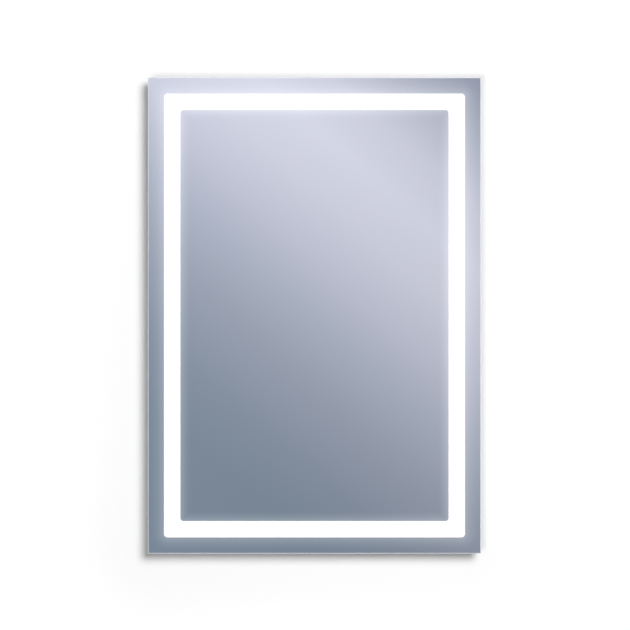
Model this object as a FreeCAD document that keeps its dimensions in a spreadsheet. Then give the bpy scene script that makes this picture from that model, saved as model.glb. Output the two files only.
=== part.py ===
import FreeCAD, Part
import math
import os
from types import SimpleNamespace

import Sketcher
from FreeCAD import Placement, Rotation, Vector

# Lighted bathroom mirror: a frameless silvered pane with a sandblasted, lit band, on a shallow
# aluminium box that hooks onto a wall rail.
#
# Frame: X to the right, Z up, Y into the wall. The wall is the plane Y = 0 and the viewer looks
# along +Y. The origin is the middle of the wall rail's screw line. Depths are measured from the
# wall towards the viewer, so a depth d lies at Y = -d. The mirror's own pieces are drawn about
# the centre of the pane, and every one of them is placed by that centre.

SIZES = {
    # pane
    "glass_width": (700, "width of the pane"),
    "glass_height": (1000, "height of the pane"),
    "glass_thick": (5, "thickness of the pane"),
    "glass_arris": (1.5, "ground edge round the front of the pane"),
    "coat_thick": (0.2, "silver coat with its protective paint"),
    "coat_margin": (1, "bare glass outside the silver coat"),
    "band_inset": (34, "edge of the pane to the lit band"),
    "band_width": (35, "width of the lit band"),
    "outer_round": (8, "outer corner radius of the lit band"),
    "band_inner_round": (5, "inner corner radius of the lit band"),
    "frost_depth": (0.3, "depth of the sandblasted recess"),
    # box behind the pane
    "frame_inset": (15, "edge of the pane to the outside of the box"),
    "frame_depth": (30, "depth of the frame rails"),
    "frame_wall": (1.5, "wall of the frame rails"),
    "flange_width": (14, "front flange that carries the pane"),
    "ledge_width": (13.5, "rear ledge that carries the back panel"),
    "key_slot": (2.5, "depth of the slot for the corner keys"),
    "key_lip": (2.5, "lips that hold the corner keys"),
    "key_leg": (45, "leg of a corner key"),
    "key_play": (0.2, "play of a corner key in its slot"),
    "key_screw_radius": (2, "set screws of the corner keys"),
    "key_screw_along": (26, "corner of a key to its set screw"),
    "tape_thick": (0.8, "foam tape between box and pane"),
    "tape_width": (11, "width of the foam tape"),
    "panel_thick": (0.8, "sheet of the back panel"),
    "panel_play": (0.5, "gap round the back panel"),
    "bead_count": (3, "pressed beads across the back panel"),
    "bead_length": (380, "length of a bead"),
    "bead_width": (16, "width of a bead at its foot"),
    "bead_rise": (3, "height of a bead"),
    "bead_pitch": (190, "spacing of the beads"),
    "bead_lowest": (-300, "lowest bead above the centre of the pane"),
    "vent_count": (12, "slots in a row of vents"),
    "vent_pitch": (11, "spacing of the vents"),
    "vent_width": (3.5, "width of a vent"),
    "vent_height": (24, "height of a vent"),
    "vent_from_top": (165, "top of the pane to the upper vents"),
    "vent_from_bottom": (88, "bottom of the pane to the lower vents"),
    "panel_screw_radius": (1.5, "shank of the back panel screws"),
    "panel_screw_head": (3, "head of the back panel screws"),
    "panel_screw_span": (220, "spacing of the screws along the short sides"),
    "panel_screw_rise": (250, "spacing of the screws along the long sides"),
    "bumper_radius": (7, "rubber wall bumpers"),
    "bumper_inset": (70, "edge of the pane to a bumper"),
    # wall rail and hanger rail
    "rail_thick": (2, "sheet of the two hooked rails"),
    "rail_gap": (0.8, "gap in the fold beyond the sheet"),
    "rail_play": (0.4, "play of the hanger rail in depth"),
    "rail_drop": (120, "top of the pane to the wall rail's screws"),
    "rail_foot": (15, "screw line to the lower edge of the wall rail"),
    "rail_step": (10, "screw line to the seat of the hook"),
    "rail_hook": (10, "height of the hook"),
    "wall_rail_length": (480, "length of the wall rail"),
    "hanger_rail_length": (520, "length of the hanger rail"),
    "wall_hole_radius": (2.75, "screw holes of the wall rail"),
    "wall_hole_outer": (400, "spacing of the outer screw holes"),
    "wall_hole_inner": (160, "spacing of the inner screw holes"),
    "rivet_count": (6, "rivets of the hanger rail"),
    "rivet_pitch": (92, "spacing of the rivets"),
    "rivet_radius": (1.6, "shank of a rivet"),
    "rivet_head": (3.2, "head of a rivet"),
    "rivet_head_high": (1.2, "height of a rivet's head"),
    # lighting
    "channel_width": (20, "width of an LED channel"),
    "channel_high": (10, "height of an LED channel"),
    "channel_wall": (1.2, "wall of an LED channel"),
    "channel_gap": (16, "corner of the band's centre line to a channel's end"),
    "nib": (0.5, "nib that holds the opal cover"),
    "nib_down": (2.2, "rim of the channel to the nib"),
    "cover_thick": (1, "wall of the opal cover"),
    "cover_leg": (4, "legs of the opal cover"),
    "cover_play": (0.15, "play of the opal cover"),
    "strip_width": (10, "width of an LED strip"),
    "strip_thick": (0.4, "thickness of an LED strip"),
    "strip_margin": (18, "end of a channel to its LED strip"),
    "channel_screw_end": (6, "end of a channel to its screw"),
    "channel_screw_off": (5.4, "centre line of a channel to its screws"),
    "feed_end": (4, "end of the top channel to the hole for the feed"),
    "led_pitch": (50, "spacing of the LEDs"),
    "led_side": (3.5, "side of an LED"),
    "led_high": (1.2, "height of an LED"),
    "plug_long": (6, "connector at the end of a strip"),
    "plug_high": (3, "height of that connector"),
    # demister pad
    "pad_width": (350, "width of the demister pad"),
    "pad_height": (500, "height of the demister pad"),
    "pad_thick": (0.4, "thickness of the demister pad"),
    "pad_top": (290, "top of the pane to the demister pad"),
    "tab_side": (14, "connector of the demister pad"),
    "tab_high": (3.4, "height of that connector"),
    # LED driver
    "driver_length": (180, "length of the driver"),
    "driver_width": (52, "width of the driver"),
    "driver_high": (19, "height of the driver"),
    "driver_wall": (1.5, "wall of the driver's housing"),
    "driver_split": (6, "height of the driver's base"),
    "driver_left": (75, "centre of the pane to the driver's centre"),
    "driver_ear": (11, "mounting ears of the driver"),
    "service_drop": (230, "top of the pane to the line of driver and terminal box"),
    "board_play": (2, "board to the housing's walls"),
    "board_thick": (1.6, "thickness of the board"),
    "board_rise": (3, "bosses under the board"),
    "boss_radius": (3, "radius of a boss"),
    "boss_inset": (5, "edges of the board to a boss"),
    "board_plug_long": (12, "connector on the board, along it"),
    "board_plug_wide": (18, "connector on the board, across it"),
    "board_plug_high": (8, "height of that connector"),
    "slot_count": (7, "cooling slots of the driver's cover"),
    "slot_pitch": (10, "spacing of those slots"),
    "slot_width": (3, "width of a slot"),
    "core_length": (30, "transformer, along the board"),
    "core_width": (26, "transformer, across the board"),
    "core_high": (10.6, "height of the transformer"),
    "cap_radius": (5, "radius of a capacitor"),
    "cap_high": (9.5, "height of a capacitor"),
    "cap_gap": (21, "side of the transformer to the middle of a capacitor"),
    "cap_pitch": (16, "spacing of the capacitors across the board"),
    "small_screw_radius": (1.5, "shank of the small screws"),
    "small_screw_head": (2.8, "head of the small screws"),
    "small_head_high": (1.6, "height of a small screw's head"),
    "hole_play": (0.1, "screw shank to its hole"),
    # mains terminal box
    "box_length": (68, "length of the terminal box"),
    "box_width": (46, "width of the terminal box"),
    "box_high": (19, "height of the terminal box"),
    "box_wall": (2, "wall of the terminal box"),
    "box_right": (100, "centre of the pane to the terminal box's centre"),
    "block_length": (20, "terminal block, along the box"),
    "block_width": (33, "terminal block, across the box"),
    "block_high": (12, "height of the terminal block"),
    "pole_pitch": (10, "spacing of the poles"),
    "pole_screw": (1.9, "radius of a clamp screw"),
    "entry_right": (20, "terminal box's centre to the cable entry"),
    "entry_radius": (4, "bore of the cable grommet"),
    "grommet_neck": (7, "neck of the grommet"),
    "grommet_flange": (10, "flanges of the grommet"),
    "grommet_lip": (1.5, "thickness of a flange"),
    "clamp_length": (32, "cable clamp, across the box"),
    "clamp_width": (7, "cable clamp, along the box"),
    "clamp_thick": (2.5, "thickness of the cable clamp"),
    "clamp_rise": (9, "posts under the cable clamp"),
    "clamp_screw_inset": (5, "end of the cable clamp to its screw"),
    "stud_radius": (2, "earth stud"),
    "stud_high": (9, "height of the earth stud"),
    "nut_across": (7, "earth nut across its flats"),
    "nut_high": (3.2, "height of the earth nut"),
    "tag_thick": (0.8, "ring tag of the earth lead"),
    # leads
    "mains_lead_radius": (2.5, "lead from terminal block to driver"),
    "led_lead_radius": (1.2, "leads of the LED strips"),
    "demister_lead_radius": (1.5, "lead of the demister pad"),
    "switch_lead_radius": (2.2, "lead of the switch"),
    "earth_lead_radius": (1.4, "earth lead"),
    "lead_play": (0.3, "lead to its hole or clip"),
    "clip_base": (0.6, "sheet under a clipped lead"),
    "clip_wall": (1.4, "wall of a lead clip"),
    "clip_long": (9, "length of a lead clip"),
    "switch_clip_count": (4, "clips of the switch lead"),
    "switch_clip_end": (50, "end of the lead's straight run to the nearest clip"),
    "switch_run_drop": (140, "terminal box to the top of that run"),
    "switch_run_inset": (36, "LED channel to that run"),
    "switch_run_rise": (50, "centre line of the lower LED channel to the foot of that run"),
    # rocker switch under the bottom rail
    "switch_from_corner": (45, "outside of the box to the switch"),
    "switch_depth": (20, "wall to the middle of the switch"),
    "bezel_length": (23, "bezel of the switch"),
    "bezel_width": (15.6, "bezel of the switch, in depth"),
    "bezel_thick": (2, "thickness of the bezel"),
    "switch_length": (20, "body of the switch"),
    "switch_width": (13.2, "body of the switch, in depth"),
    "switch_high": (14, "body of the switch behind the rail's face"),
    "switch_play": (0.2, "switch body to its cut-out"),
    "catch_out": (0.8, "spring catches of the switch"),
    "well_length": (17.4, "well of the rocker"),
    "well_width": (10, "well of the rocker, in depth"),
    "well_deep": (8.5, "depth of the well"),
    "rocker_length": (13.8, "rocker"),
    "rocker_width": (9.4, "rocker, in depth"),
    "rocker_dip": (3.2, "pivot to the dip of the rocker"),
    "rocker_back": (1.5, "pivot to the back of the rocker"),
    "rocker_tilt": (10, "tilt of the rocker to each side, in degrees"),
    "pivot_out": (4, "face of the bezel to the pivot"),
    "pivot_radius": (1.2, "trunnions of the rocker"),
    "pivot_play": (0.05, "trunnion to its bearing"),
    "pivot_long": (0.9, "trunnion beyond the rocker"),
    "blade_length": (6.3, "terminal blades of the switch"),
    "blade_width": (4.8, "width of a blade"),
    "blade_thick": (0.8, "thickness of a blade"),
    "blade_pitch": (8, "spacing of the blades"),
    "socket_length": (15, "plug on the blades"),
    "socket_width": (9, "plug on the blades, in depth"),
    "socket_high": (8, "height of that plug"),
}

# Small reliefs that only keep one face off another.
SEAT_GAP = 0.3

# Small screws, rivets and leads have a few flat sides, and so have the holes they go through.
FASTENER_SIDES = 6
LEAD_SIDES = 6
CAN_SIDES = 8
GROMMET_SIDES = 12

OUTLINES_PER_SKETCH = 4

doc = FreeCAD.newDocument("lighted_mirror")
sheet = doc.addObject("Spreadsheet::Sheet", "dims")
for row, (alias, (value, note)) in enumerate(SIZES.items(), start=1):
    sheet.set(f"A{row}", alias)
    sheet.set(f"B{row}", str(value))
    sheet.set(f"C{row}", note)
    sheet.setAlias(f"B{row}", alias)
doc.recompute()


class Size:
    """A length worked out from the sheet: the expression's text and its value now."""

    def __init__(self, text, value):
        self.text = text
        self.value = value

    def __add__(self, other):
        return joined(self, "+", other)

    def __radd__(self, other):
        return joined(other, "+", self)

    def __sub__(self, other):
        return joined(self, "-", other)

    def __rsub__(self, other):
        return joined(other, "-", self)

    def __mul__(self, other):
        return joined(self, "*", other)

    def __rmul__(self, other):
        return joined(other, "*", self)

    def __truediv__(self, other):
        return joined(self, "/", other)

    def __neg__(self):
        return Size(f"(0 - {self.text})", -self.value)


def as_size(value):
    """A plain number as a Size."""
    return value if isinstance(value, Size) else Size(str(value), value)


def joined(first, sign, second):
    """Two sizes joined by + - * or /."""
    first = as_size(first)
    second = as_size(second)
    results = {
        "+": lambda: first.value + second.value,
        "-": lambda: first.value - second.value,
        "*": lambda: first.value * second.value,
        "/": lambda: first.value / second.value,
    }
    return Size(f"({first.text} {sign} {second.text})", results[sign]())


def whole(size):
    """The size rounded down to a whole number."""
    return Size(f"floor({size.text})", math.floor(size.value))


def tangent(angle):
    """The tangent of an angle in degrees."""
    return Size(f"tan({angle.text} * 1 deg)", math.tan(math.radians(angle.value)))


mm = SimpleNamespace(**{
    alias: Size(f"dims.{alias}", value) for alias, (value, note) in SIZES.items()
})


# --- how a piece is drawn -------------------------------------------------------------------

# A view is an origin plane, with the signs that turn the two drawn coordinates into the
# sketch's own. FRONT is drawn in (x, z), SIDE in (depth, z) and TOP in (x, depth). Material is
# added along the plane's normal: towards the viewer, to the right, and up.
FRONT = ("XZ_Plane", 1, 1)
SIDE = ("YZ_Plane", -1, 1)
TOP = ("XY_Plane", 1, -1)

pieces = []


def bind(item, name, size):
    """Set a property of a document object from a Size."""
    item.setExpression(name, as_size(size).text)


def new_piece(label, turn=0, centre_x=0, centre_depth=0, centre_z=None):
    """A body drawn about the centre of the pane, turned about Y by quarter turns."""
    body = doc.addObject("PartDesign::Body", label)
    body.Label = label
    body.AllowCompound = True
    body.Placement = Placement(Vector(), Rotation(Vector(0, 1, 0), turn))
    bind(body, "Placement.Base.x", centre_x)
    bind(body, "Placement.Base.y", -as_size(centre_depth))
    bind(body, "Placement.Base.z", PANE_CENTRE if centre_z is None else centre_z)
    pieces.append(body)
    return body


def origin_feature(body, role):
    """One of the body's origin planes or axes."""
    return next(item for item in body.Origin.OriginFeatures if item.Role == role)


class Plan:
    """The lines and constraints of a sketch, gathered so that it is solved once."""

    def __init__(self):
        self.geometry = []
        self.constraints = []
        self.sizes = []

    def draw(self, line):
        """Add a line, an arc or a circle, and return its number."""
        self.geometry.append(line)
        return len(self.geometry) - 1

    def fix(self, *values, size=None):
        """Add a constraint, tied to a size if it has one."""
        if size is not None:
            values += (size.value,)
        self.constraints.append(Sketcher.Constraint(*values))
        self.sizes.append(size)

    def place(self, line, point, spot):
        """Fix a point of a line by its two distances from the origin."""
        for kind, size in zip(("DistanceX", "DistanceY"), spot):
            self.fix(kind, -1, 1, line, point, size=size)

    def put_into(self, sketch):
        """Hand everything to the sketch."""
        sketch.addGeometry(self.geometry)
        sketch.addConstraint(self.constraints)
        for number, size in enumerate(self.sizes):
            if size is not None:
                bind(sketch, f"Constraints[{number}]", size)


def outline(points):
    """A closed outline of straight lines through the points."""
    def draw(plan, view):
        spots = [view_spot(view, point) for point in points]
        lines = []
        for spot, following in zip(spots, spots[1:] + spots[:1]):
            start = Vector(spot[0].value, spot[1].value, 0)
            end = Vector(following[0].value, following[1].value, 0)
            lines.append(plan.draw(Part.LineSegment(start, end)))
        for line, following, spot in zip(lines, lines[1:] + lines[:1], spots):
            plan.fix("Coincident", line, 2, following, 1)
            plan.place(line, 1, spot)
    return draw


def box(left, low, right, high):
    """A rectangle."""
    return outline([(left, low), (right, low), (right, high), (left, high)])


def centred_box(width, height, across=0, up=0):
    """A rectangle about a centre."""
    return box(across - width / 2, up - height / 2, across + width / 2, up + height / 2)


def disc(across, up, radius):
    """A circle."""
    def draw(plan, view):
        spot = view_spot(view, (across, up))
        size = as_size(radius)
        centre = Vector(spot[0].value, spot[1].value, 0)
        circle = plan.draw(Part.Circle(centre, Vector(0, 0, 1), size.value))
        plan.place(circle, 3, spot)
        plan.fix("Radius", circle, size=size)
    return draw


def inscribed(across, up, radius, sides=FASTENER_SIDES):
    """A regular polygon with its corners on the circle."""
    angles = [2 * math.pi * number / sides for number in range(sides)]
    return outline([(across + radius * round(math.cos(angle), 9),
                     up + radius * round(math.sin(angle), 9)) for angle in angles])


def circumscribed(across, up, radius, sides=FASTENER_SIDES):
    """A regular polygon whose sides touch the circle."""
    return inscribed(across, up, radius / math.cos(math.pi / sides), sides)


def bevel_box(width, height, bevel, across=0, up=0):
    """A rectangle about a centre, with its corners cut off."""
    half_width = width / 2
    half_height = height / 2
    points = []
    for sign_x, sign_z in ((1, 1), (-1, 1), (-1, -1), (1, -1)):
        corner = [(half_width, half_height - bevel), (half_width - bevel, half_height)]
        points += [(across + sign_x * x, up + sign_z * z)
                   for x, z in (corner if sign_x == sign_z else reversed(corner))]
    return outline(points)


def round_box(width, height, radius, across=0, up=0):
    """A rectangle about a centre, with rounded corners."""
    def draw(plan, view):
        middle = view_spot(view, (across, up))
        half = (as_size(width) / 2, as_size(height) / 2)
        size = as_size(radius)
        centre = Vector(middle[0].value, middle[1].value, 0)
        lines = []
        arcs = []
        for corner in range(4):
            # The straight side before the corner, then the corner's arc, anticlockwise from
            # the lower side.
            turn = corner * math.pi / 2
            along = Vector(math.cos(turn), math.sin(turn), 0)
            out = Vector(math.sin(turn), -math.cos(turn), 0)
            reach = half[corner % 2].value - size.value
            offset = half[1 - corner % 2].value
            start = centre - along * reach + out * offset
            end = centre + along * reach + out * offset
            lines.append(plan.draw(Part.LineSegment(start, end)))
            circle = Part.Circle(end - out * size.value, Vector(0, 0, 1), size.value)
            arcs.append(plan.draw(Part.ArcOfCircle(circle, turn - math.pi / 2, turn)))
        for line, arc, following in zip(lines, arcs, lines[1:] + lines[:1]):
            plan.fix("Tangent", line, 2, arc, 1)
            plan.fix("Tangent", arc, 2, following, 1)
        for level, line in zip(("Horizontal", "Vertical") * 2, lines):
            plan.fix(level, line)
        for arc in arcs[1:]:
            plan.fix("Equal", arcs[0], arc)
        plan.fix("Radius", arcs[0], size=size)
        sides = (("DistanceY", lines[0], middle[1] - half[1]),
                 ("DistanceX", lines[1], middle[0] + half[0]),
                 ("DistanceY", lines[2], middle[1] + half[1]),
                 ("DistanceX", lines[3], middle[0] - half[0]))
        for kind, line, place in sides:
            plan.fix(kind, -1, 1, line, 1, size=place)
    return draw


def view_spot(view, point):
    """A drawn point in the sketch's own coordinates."""
    plane, first_sign, second_sign = view
    return (first_sign * as_size(point[0]), second_sign * as_size(point[1]))


def drawn(body, view, start, outlines):
    """A sketch of the outlines, a distance along the plane's normal."""
    sketch = body.newObject("Sketcher::SketchObject", f"{body.Name}_sketch")
    sketch.AttachmentSupport = [(origin_feature(body, view[0]), "")]
    sketch.MapMode = "FlatFace"
    bind(sketch, "AttachmentOffset.Base.z", start)
    plan = Plan()
    for draw in outlines:
        draw(plan, view)
    plan.put_into(sketch)
    return sketch


def extruded(body, kind, view, start, length, outlines):
    """Pads or pockets over the outlines, of which the last is returned.

    A large sketch takes long to solve, so each holds only a few outlines.
    """
    for first in range(0, len(outlines), OUTLINES_PER_SKETCH):
        sketch = drawn(body, view, start, outlines[first:first + OUTLINES_PER_SKETCH])
        feature = body.newObject(f"PartDesign::{kind}", f"{body.Name}_{kind.lower()}")
        feature.Profile = sketch
        feature.Reversed = kind == "Pocket"
        bind(feature, "Length", length)
    return feature


def add(body, view, start, length, *outlines):
    """Add material over the outlines, from a start along the view's normal."""
    return extruded(body, "Pad", view, start, length, outlines)


def cut(body, view, start, length, *outlines):
    """Take material away inside the outlines, the same way as add() puts it on."""
    return extruded(body, "Pocket", view, start, length, outlines)


def repeat(body, feature, axis, pitch, count):
    """Repeat a feature along one of the body's axes."""
    pattern = body.newObject("PartDesign::LinearPattern", f"{body.Name}_pattern")
    pattern.Originals = [feature]
    pattern.Direction = (origin_feature(body, axis), [""])
    pattern.Mode = "Spacing"
    bind(pattern, "Offset", pitch)
    bind(pattern, "Occurrences", count)
    body.Tip = pattern
    return pattern


def spread(count, pitch):
    """Places about zero, a pitch apart."""
    return [pitch * (number - (count - 1) / 2) for number in range(count)]


def fasteners(label, spots, head, shank):
    """Screws or rivets that stand square to the wall, one solid each.

    head and shank are each a radius, a start depth and a length.
    """
    body = new_piece(label)
    for radius, start, length in (head, shank):
        add(body, FRONT, start, length,
            *[inscribed(across, up, radius) for across, up in spots])
    return body


# --- depths and lines that several pieces share ------------------------------------------------

PANE_CENTRE = mm.rail_drop - mm.glass_height / 2
RAIL_LINE = -PANE_CENTRE

HOOK_DEPTH = mm.rail_thick * 2 + mm.rail_gap
PANEL_BACK = HOOK_DEPTH + mm.rail_play
PANEL_FRONT = PANEL_BACK + mm.panel_thick
LEDGE_FRONT = PANEL_FRONT + mm.frame_wall
KEY_LIP_BACK = LEDGE_FRONT + mm.key_slot
KEY_LIP_FRONT = KEY_LIP_BACK + mm.frame_wall
COAT_BACK = mm.frame_depth + mm.tape_thick
GLASS_BACK = COAT_BACK + mm.coat_thick
GLASS_FRONT = GLASS_BACK + mm.glass_thick

BAND_OUTER_WIDTH = mm.glass_width - mm.band_inset * 2
BAND_OUTER_HEIGHT = mm.glass_height - mm.band_inset * 2
BAND_INNER_WIDTH = BAND_OUTER_WIDTH - mm.band_width * 2
BAND_INNER_HEIGHT = BAND_OUTER_HEIGHT - mm.band_width * 2
BAND_CENTRE_X = mm.glass_width / 2 - mm.band_inset - mm.band_width / 2
BAND_CENTRE_Z = mm.glass_height / 2 - mm.band_inset - mm.band_width / 2

FRAME_X = mm.glass_width / 2 - mm.frame_inset
FRAME_Z = mm.glass_height / 2 - mm.frame_inset
KEY_IN = mm.ledge_width - mm.frame_wall
KEY_MIDDLE = (mm.frame_wall + KEY_IN) / 2
PANEL_SCREW_X = FRAME_X - KEY_MIDDLE
PANEL_SCREW_Z = FRAME_Z - KEY_MIDDLE

SERVICE_Z = mm.glass_height / 2 - mm.service_drop
DRIVER_X = -mm.driver_left
BOX_X = mm.box_right
BOX_FLOOR = PANEL_FRONT + mm.box_wall
ENTRY_X = BOX_X + mm.entry_right

CHANNEL_FLOOR = PANEL_FRONT + mm.channel_wall
CHANNEL_RIM = PANEL_FRONT + mm.channel_high
LED_LEAD_DEPTH = CHANNEL_FLOOR + mm.led_lead_radius

# Quarter turns about Y carry a piece drawn at the top to each side in turn.
SIDES = {"top": 0, "right": 90, "bottom": 180, "left": 270}
CORNERS = {"top_right": (1, 1), "bottom_right": (1, -1), "bottom_left": (-1, -1),
           "top_left": (-1, 1)}


def side_reach(side, across, up):
    """Half the length of a side and its distance out, for lines that far from the centre."""
    return (across, up) if SIDES[side] % 180 == 0 else (up, across)


# --- pane -------------------------------------------------------------------------------------

def frosted_ring():
    """The two outlines of the lit band."""
    return (round_box(BAND_OUTER_WIDTH, BAND_OUTER_HEIGHT, mm.outer_round),
            round_box(BAND_INNER_WIDTH, BAND_INNER_HEIGHT, mm.band_inner_round))


def make_pane():
    """Glass with a ground front edge, its frosted band and its silver coat."""
    glass = new_piece("mirror_glass")
    add(glass, FRONT, GLASS_BACK, mm.glass_thick, centred_box(mm.glass_width, mm.glass_height))
    cut(glass, FRONT, GLASS_BACK, mm.frost_depth, *frosted_ring())
    doc.recompute()
    front_y = -GLASS_FRONT.value
    base = glass.Tip
    names = [f"Edge{number}" for number, edge in enumerate(base.Shape.Edges, start=1)
             if all(abs(vertex.Y - front_y) < 0.001 for vertex in edge.Vertexes)]
    arris = glass.newObject("PartDesign::Chamfer", "glass_arris")
    arris.Base = (base, names)
    bind(arris, "Size", mm.glass_arris)

    band = new_piece("light_band")
    add(band, FRONT, GLASS_BACK, mm.frost_depth, *frosted_ring())

    coat = new_piece("silver_coat")
    add(coat, FRONT, COAT_BACK, mm.coat_thick,
        centred_box(mm.glass_width - mm.coat_margin * 2, mm.glass_height - mm.coat_margin * 2),
        *frosted_ring())


def make_glass_tape():
    """Four strips of foam tape on the frame's front flange."""
    tape = new_piece("glass_tape")
    inset = (mm.flange_width - mm.tape_width) / 2
    out_x = FRAME_X - inset
    out_z = FRAME_Z - inset
    in_x = out_x - mm.tape_width
    in_z = out_z - mm.tape_width
    strips = []
    for sign in (1, -1):
        strips.append(centred_box(out_x * 2, mm.tape_width, 0, sign * (out_z + in_z) / 2))
        strips.append(centred_box(mm.tape_width, (in_z - 1) * 2, sign * (out_x + in_x) / 2, 0))
    add(tape, FRONT, mm.frame_depth, mm.tape_thick, *strips)


def make_demister():
    """Heated film on the back of the silver coat, with its moulded connector."""
    pad = new_piece("demister_pad")
    middle = mm.glass_height / 2 - mm.pad_top - mm.pad_height / 2
    add(pad, FRONT, COAT_BACK - mm.pad_thick, mm.pad_thick,
        round_box(mm.pad_width, mm.pad_height, 12, 0, middle))
    add(pad, FRONT, COAT_BACK - mm.pad_thick - mm.tab_high, mm.tab_high,
        centred_box(mm.tab_side, mm.tab_side, DEMISTER_LEAD_X,
                    DEMISTER_TAB_TOP - mm.tab_side / 2))


# --- box behind the pane ------------------------------------------------------------------------

def rail_section(out):
    """The frame rail's section, from its outer face inwards, in (depth, z)."""
    wall = mm.frame_wall
    ledge = mm.ledge_width
    points = [
        (0, 0), (mm.frame_depth, 0), (mm.frame_depth, mm.flange_width),
        (mm.frame_depth - wall, mm.flange_width), (mm.frame_depth - wall, wall),
        (KEY_LIP_FRONT, wall), (KEY_LIP_FRONT, wall + mm.key_lip),
        (KEY_LIP_BACK, wall + mm.key_lip), (KEY_LIP_BACK, wall), (LEDGE_FRONT, wall),
        (LEDGE_FRONT, KEY_IN), (KEY_LIP_BACK, KEY_IN), (KEY_LIP_BACK, KEY_IN - wall),
        (KEY_LIP_FRONT, KEY_IN - wall), (KEY_LIP_FRONT, ledge), (PANEL_FRONT, ledge),
        (PANEL_FRONT, wall), (0, wall),
    ]
    return outline([(depth, out - inward) for depth, inward in points])


def make_frame_rail(side):
    """One mitred rail of the box, with the screw holes of the back panel."""
    half, out = side_reach(side, FRAME_X, FRAME_Z)
    rail = new_piece(f"frame_rail_{side}", SIDES[side])
    add(rail, SIDE, -half, half * 2, rail_section(out))
    mitre = mm.flange_width + 1
    for sign in (1, -1):
        cut(rail, FRONT, -1, mm.frame_depth + 2, outline([
            (sign * half, out), (sign * (half + 1), out), (sign * (half + 1), out - mitre),
            (sign * (half - mitre), out - mitre)]))
    short = side in ("top", "bottom")
    places = short_side_screws() if short else long_side_screws()
    cut(rail, FRONT, PANEL_FRONT, mm.frame_wall,
        *[circumscribed(place, out - KEY_MIDDLE, mm.panel_screw_radius + mm.hole_play)
          for place in places])
    if side == "bottom":
        # The rail is turned over, so the switch's cut-out is drawn mirrored.
        cut(rail, TOP, out - mm.frame_wall - 1, mm.frame_wall + 2,
            centred_box(mm.switch_length + mm.switch_play * 2,
                        mm.switch_width + mm.switch_play * 2, -SWITCH_X, mm.switch_depth))


def make_corner_key(corner):
    """An L-shaped plate that joins two rails, with a threaded hole in each leg."""
    sign_x, sign_z = CORNERS[corner]
    key = new_piece(f"corner_key_{corner}")
    near = mm.frame_wall + mm.key_play
    far = KEY_IN - mm.key_play
    end = mm.frame_wall + mm.key_leg
    points = [(near, near), (end, near), (end, far), (far, far), (far, end), (near, end)]
    add(key, FRONT, LEDGE_FRONT, mm.key_slot - mm.key_play, outline(
        [(sign_x * (FRAME_X - along), sign_z * (FRAME_Z - up)) for along, up in points]))
    cut(key, FRONT, LEDGE_FRONT, mm.key_slot,
        *[circumscribed(x, z, mm.key_screw_radius + mm.hole_play)
          for x, z in key_screw_spots(corner)])


def key_screw_spots(corner):
    """Where the two set screws of a corner key stand."""
    sign_x, sign_z = CORNERS[corner]
    along = mm.frame_wall + mm.key_screw_along
    return [(sign_x * (FRAME_X - first), sign_z * (FRAME_Z - second))
            for first, second in ((along, KEY_MIDDLE), (KEY_MIDDLE, along))]


def make_key_screws():
    """The set screws that wedge the corner keys in their slots."""
    screws = new_piece("corner_key_screws")
    spots = [spot for corner in CORNERS for spot in key_screw_spots(corner)]
    add(screws, FRONT, LEDGE_FRONT, mm.key_slot + mm.frame_wall,
        *[inscribed(x, z, mm.key_screw_radius) for x, z in spots])


def short_side_screws():
    """Places of the back panel's screws along the top and bottom rails."""
    return spread(3, mm.panel_screw_span)


def long_side_screws():
    """Places of the back panel's screws along the left and right rails."""
    return spread(4, mm.panel_screw_rise)


def panel_screw_spots():
    """The screws round the back panel."""
    spots = []
    for sign in (1, -1):
        spots += [(place, sign * PANEL_SCREW_Z) for place in short_side_screws()]
        spots += [(sign * PANEL_SCREW_X, place) for place in long_side_screws()]
    return spots


def rivet_spots():
    """The rivets of the hanger rail."""
    count = SIZES["rivet_count"][0]
    up = RAIL_LINE + mm.rail_step + mm.rail_hook + mm.rail_thick + mm.rail_foot / 2
    return [(place, up) for place in spread(count, mm.rivet_pitch)]


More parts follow.
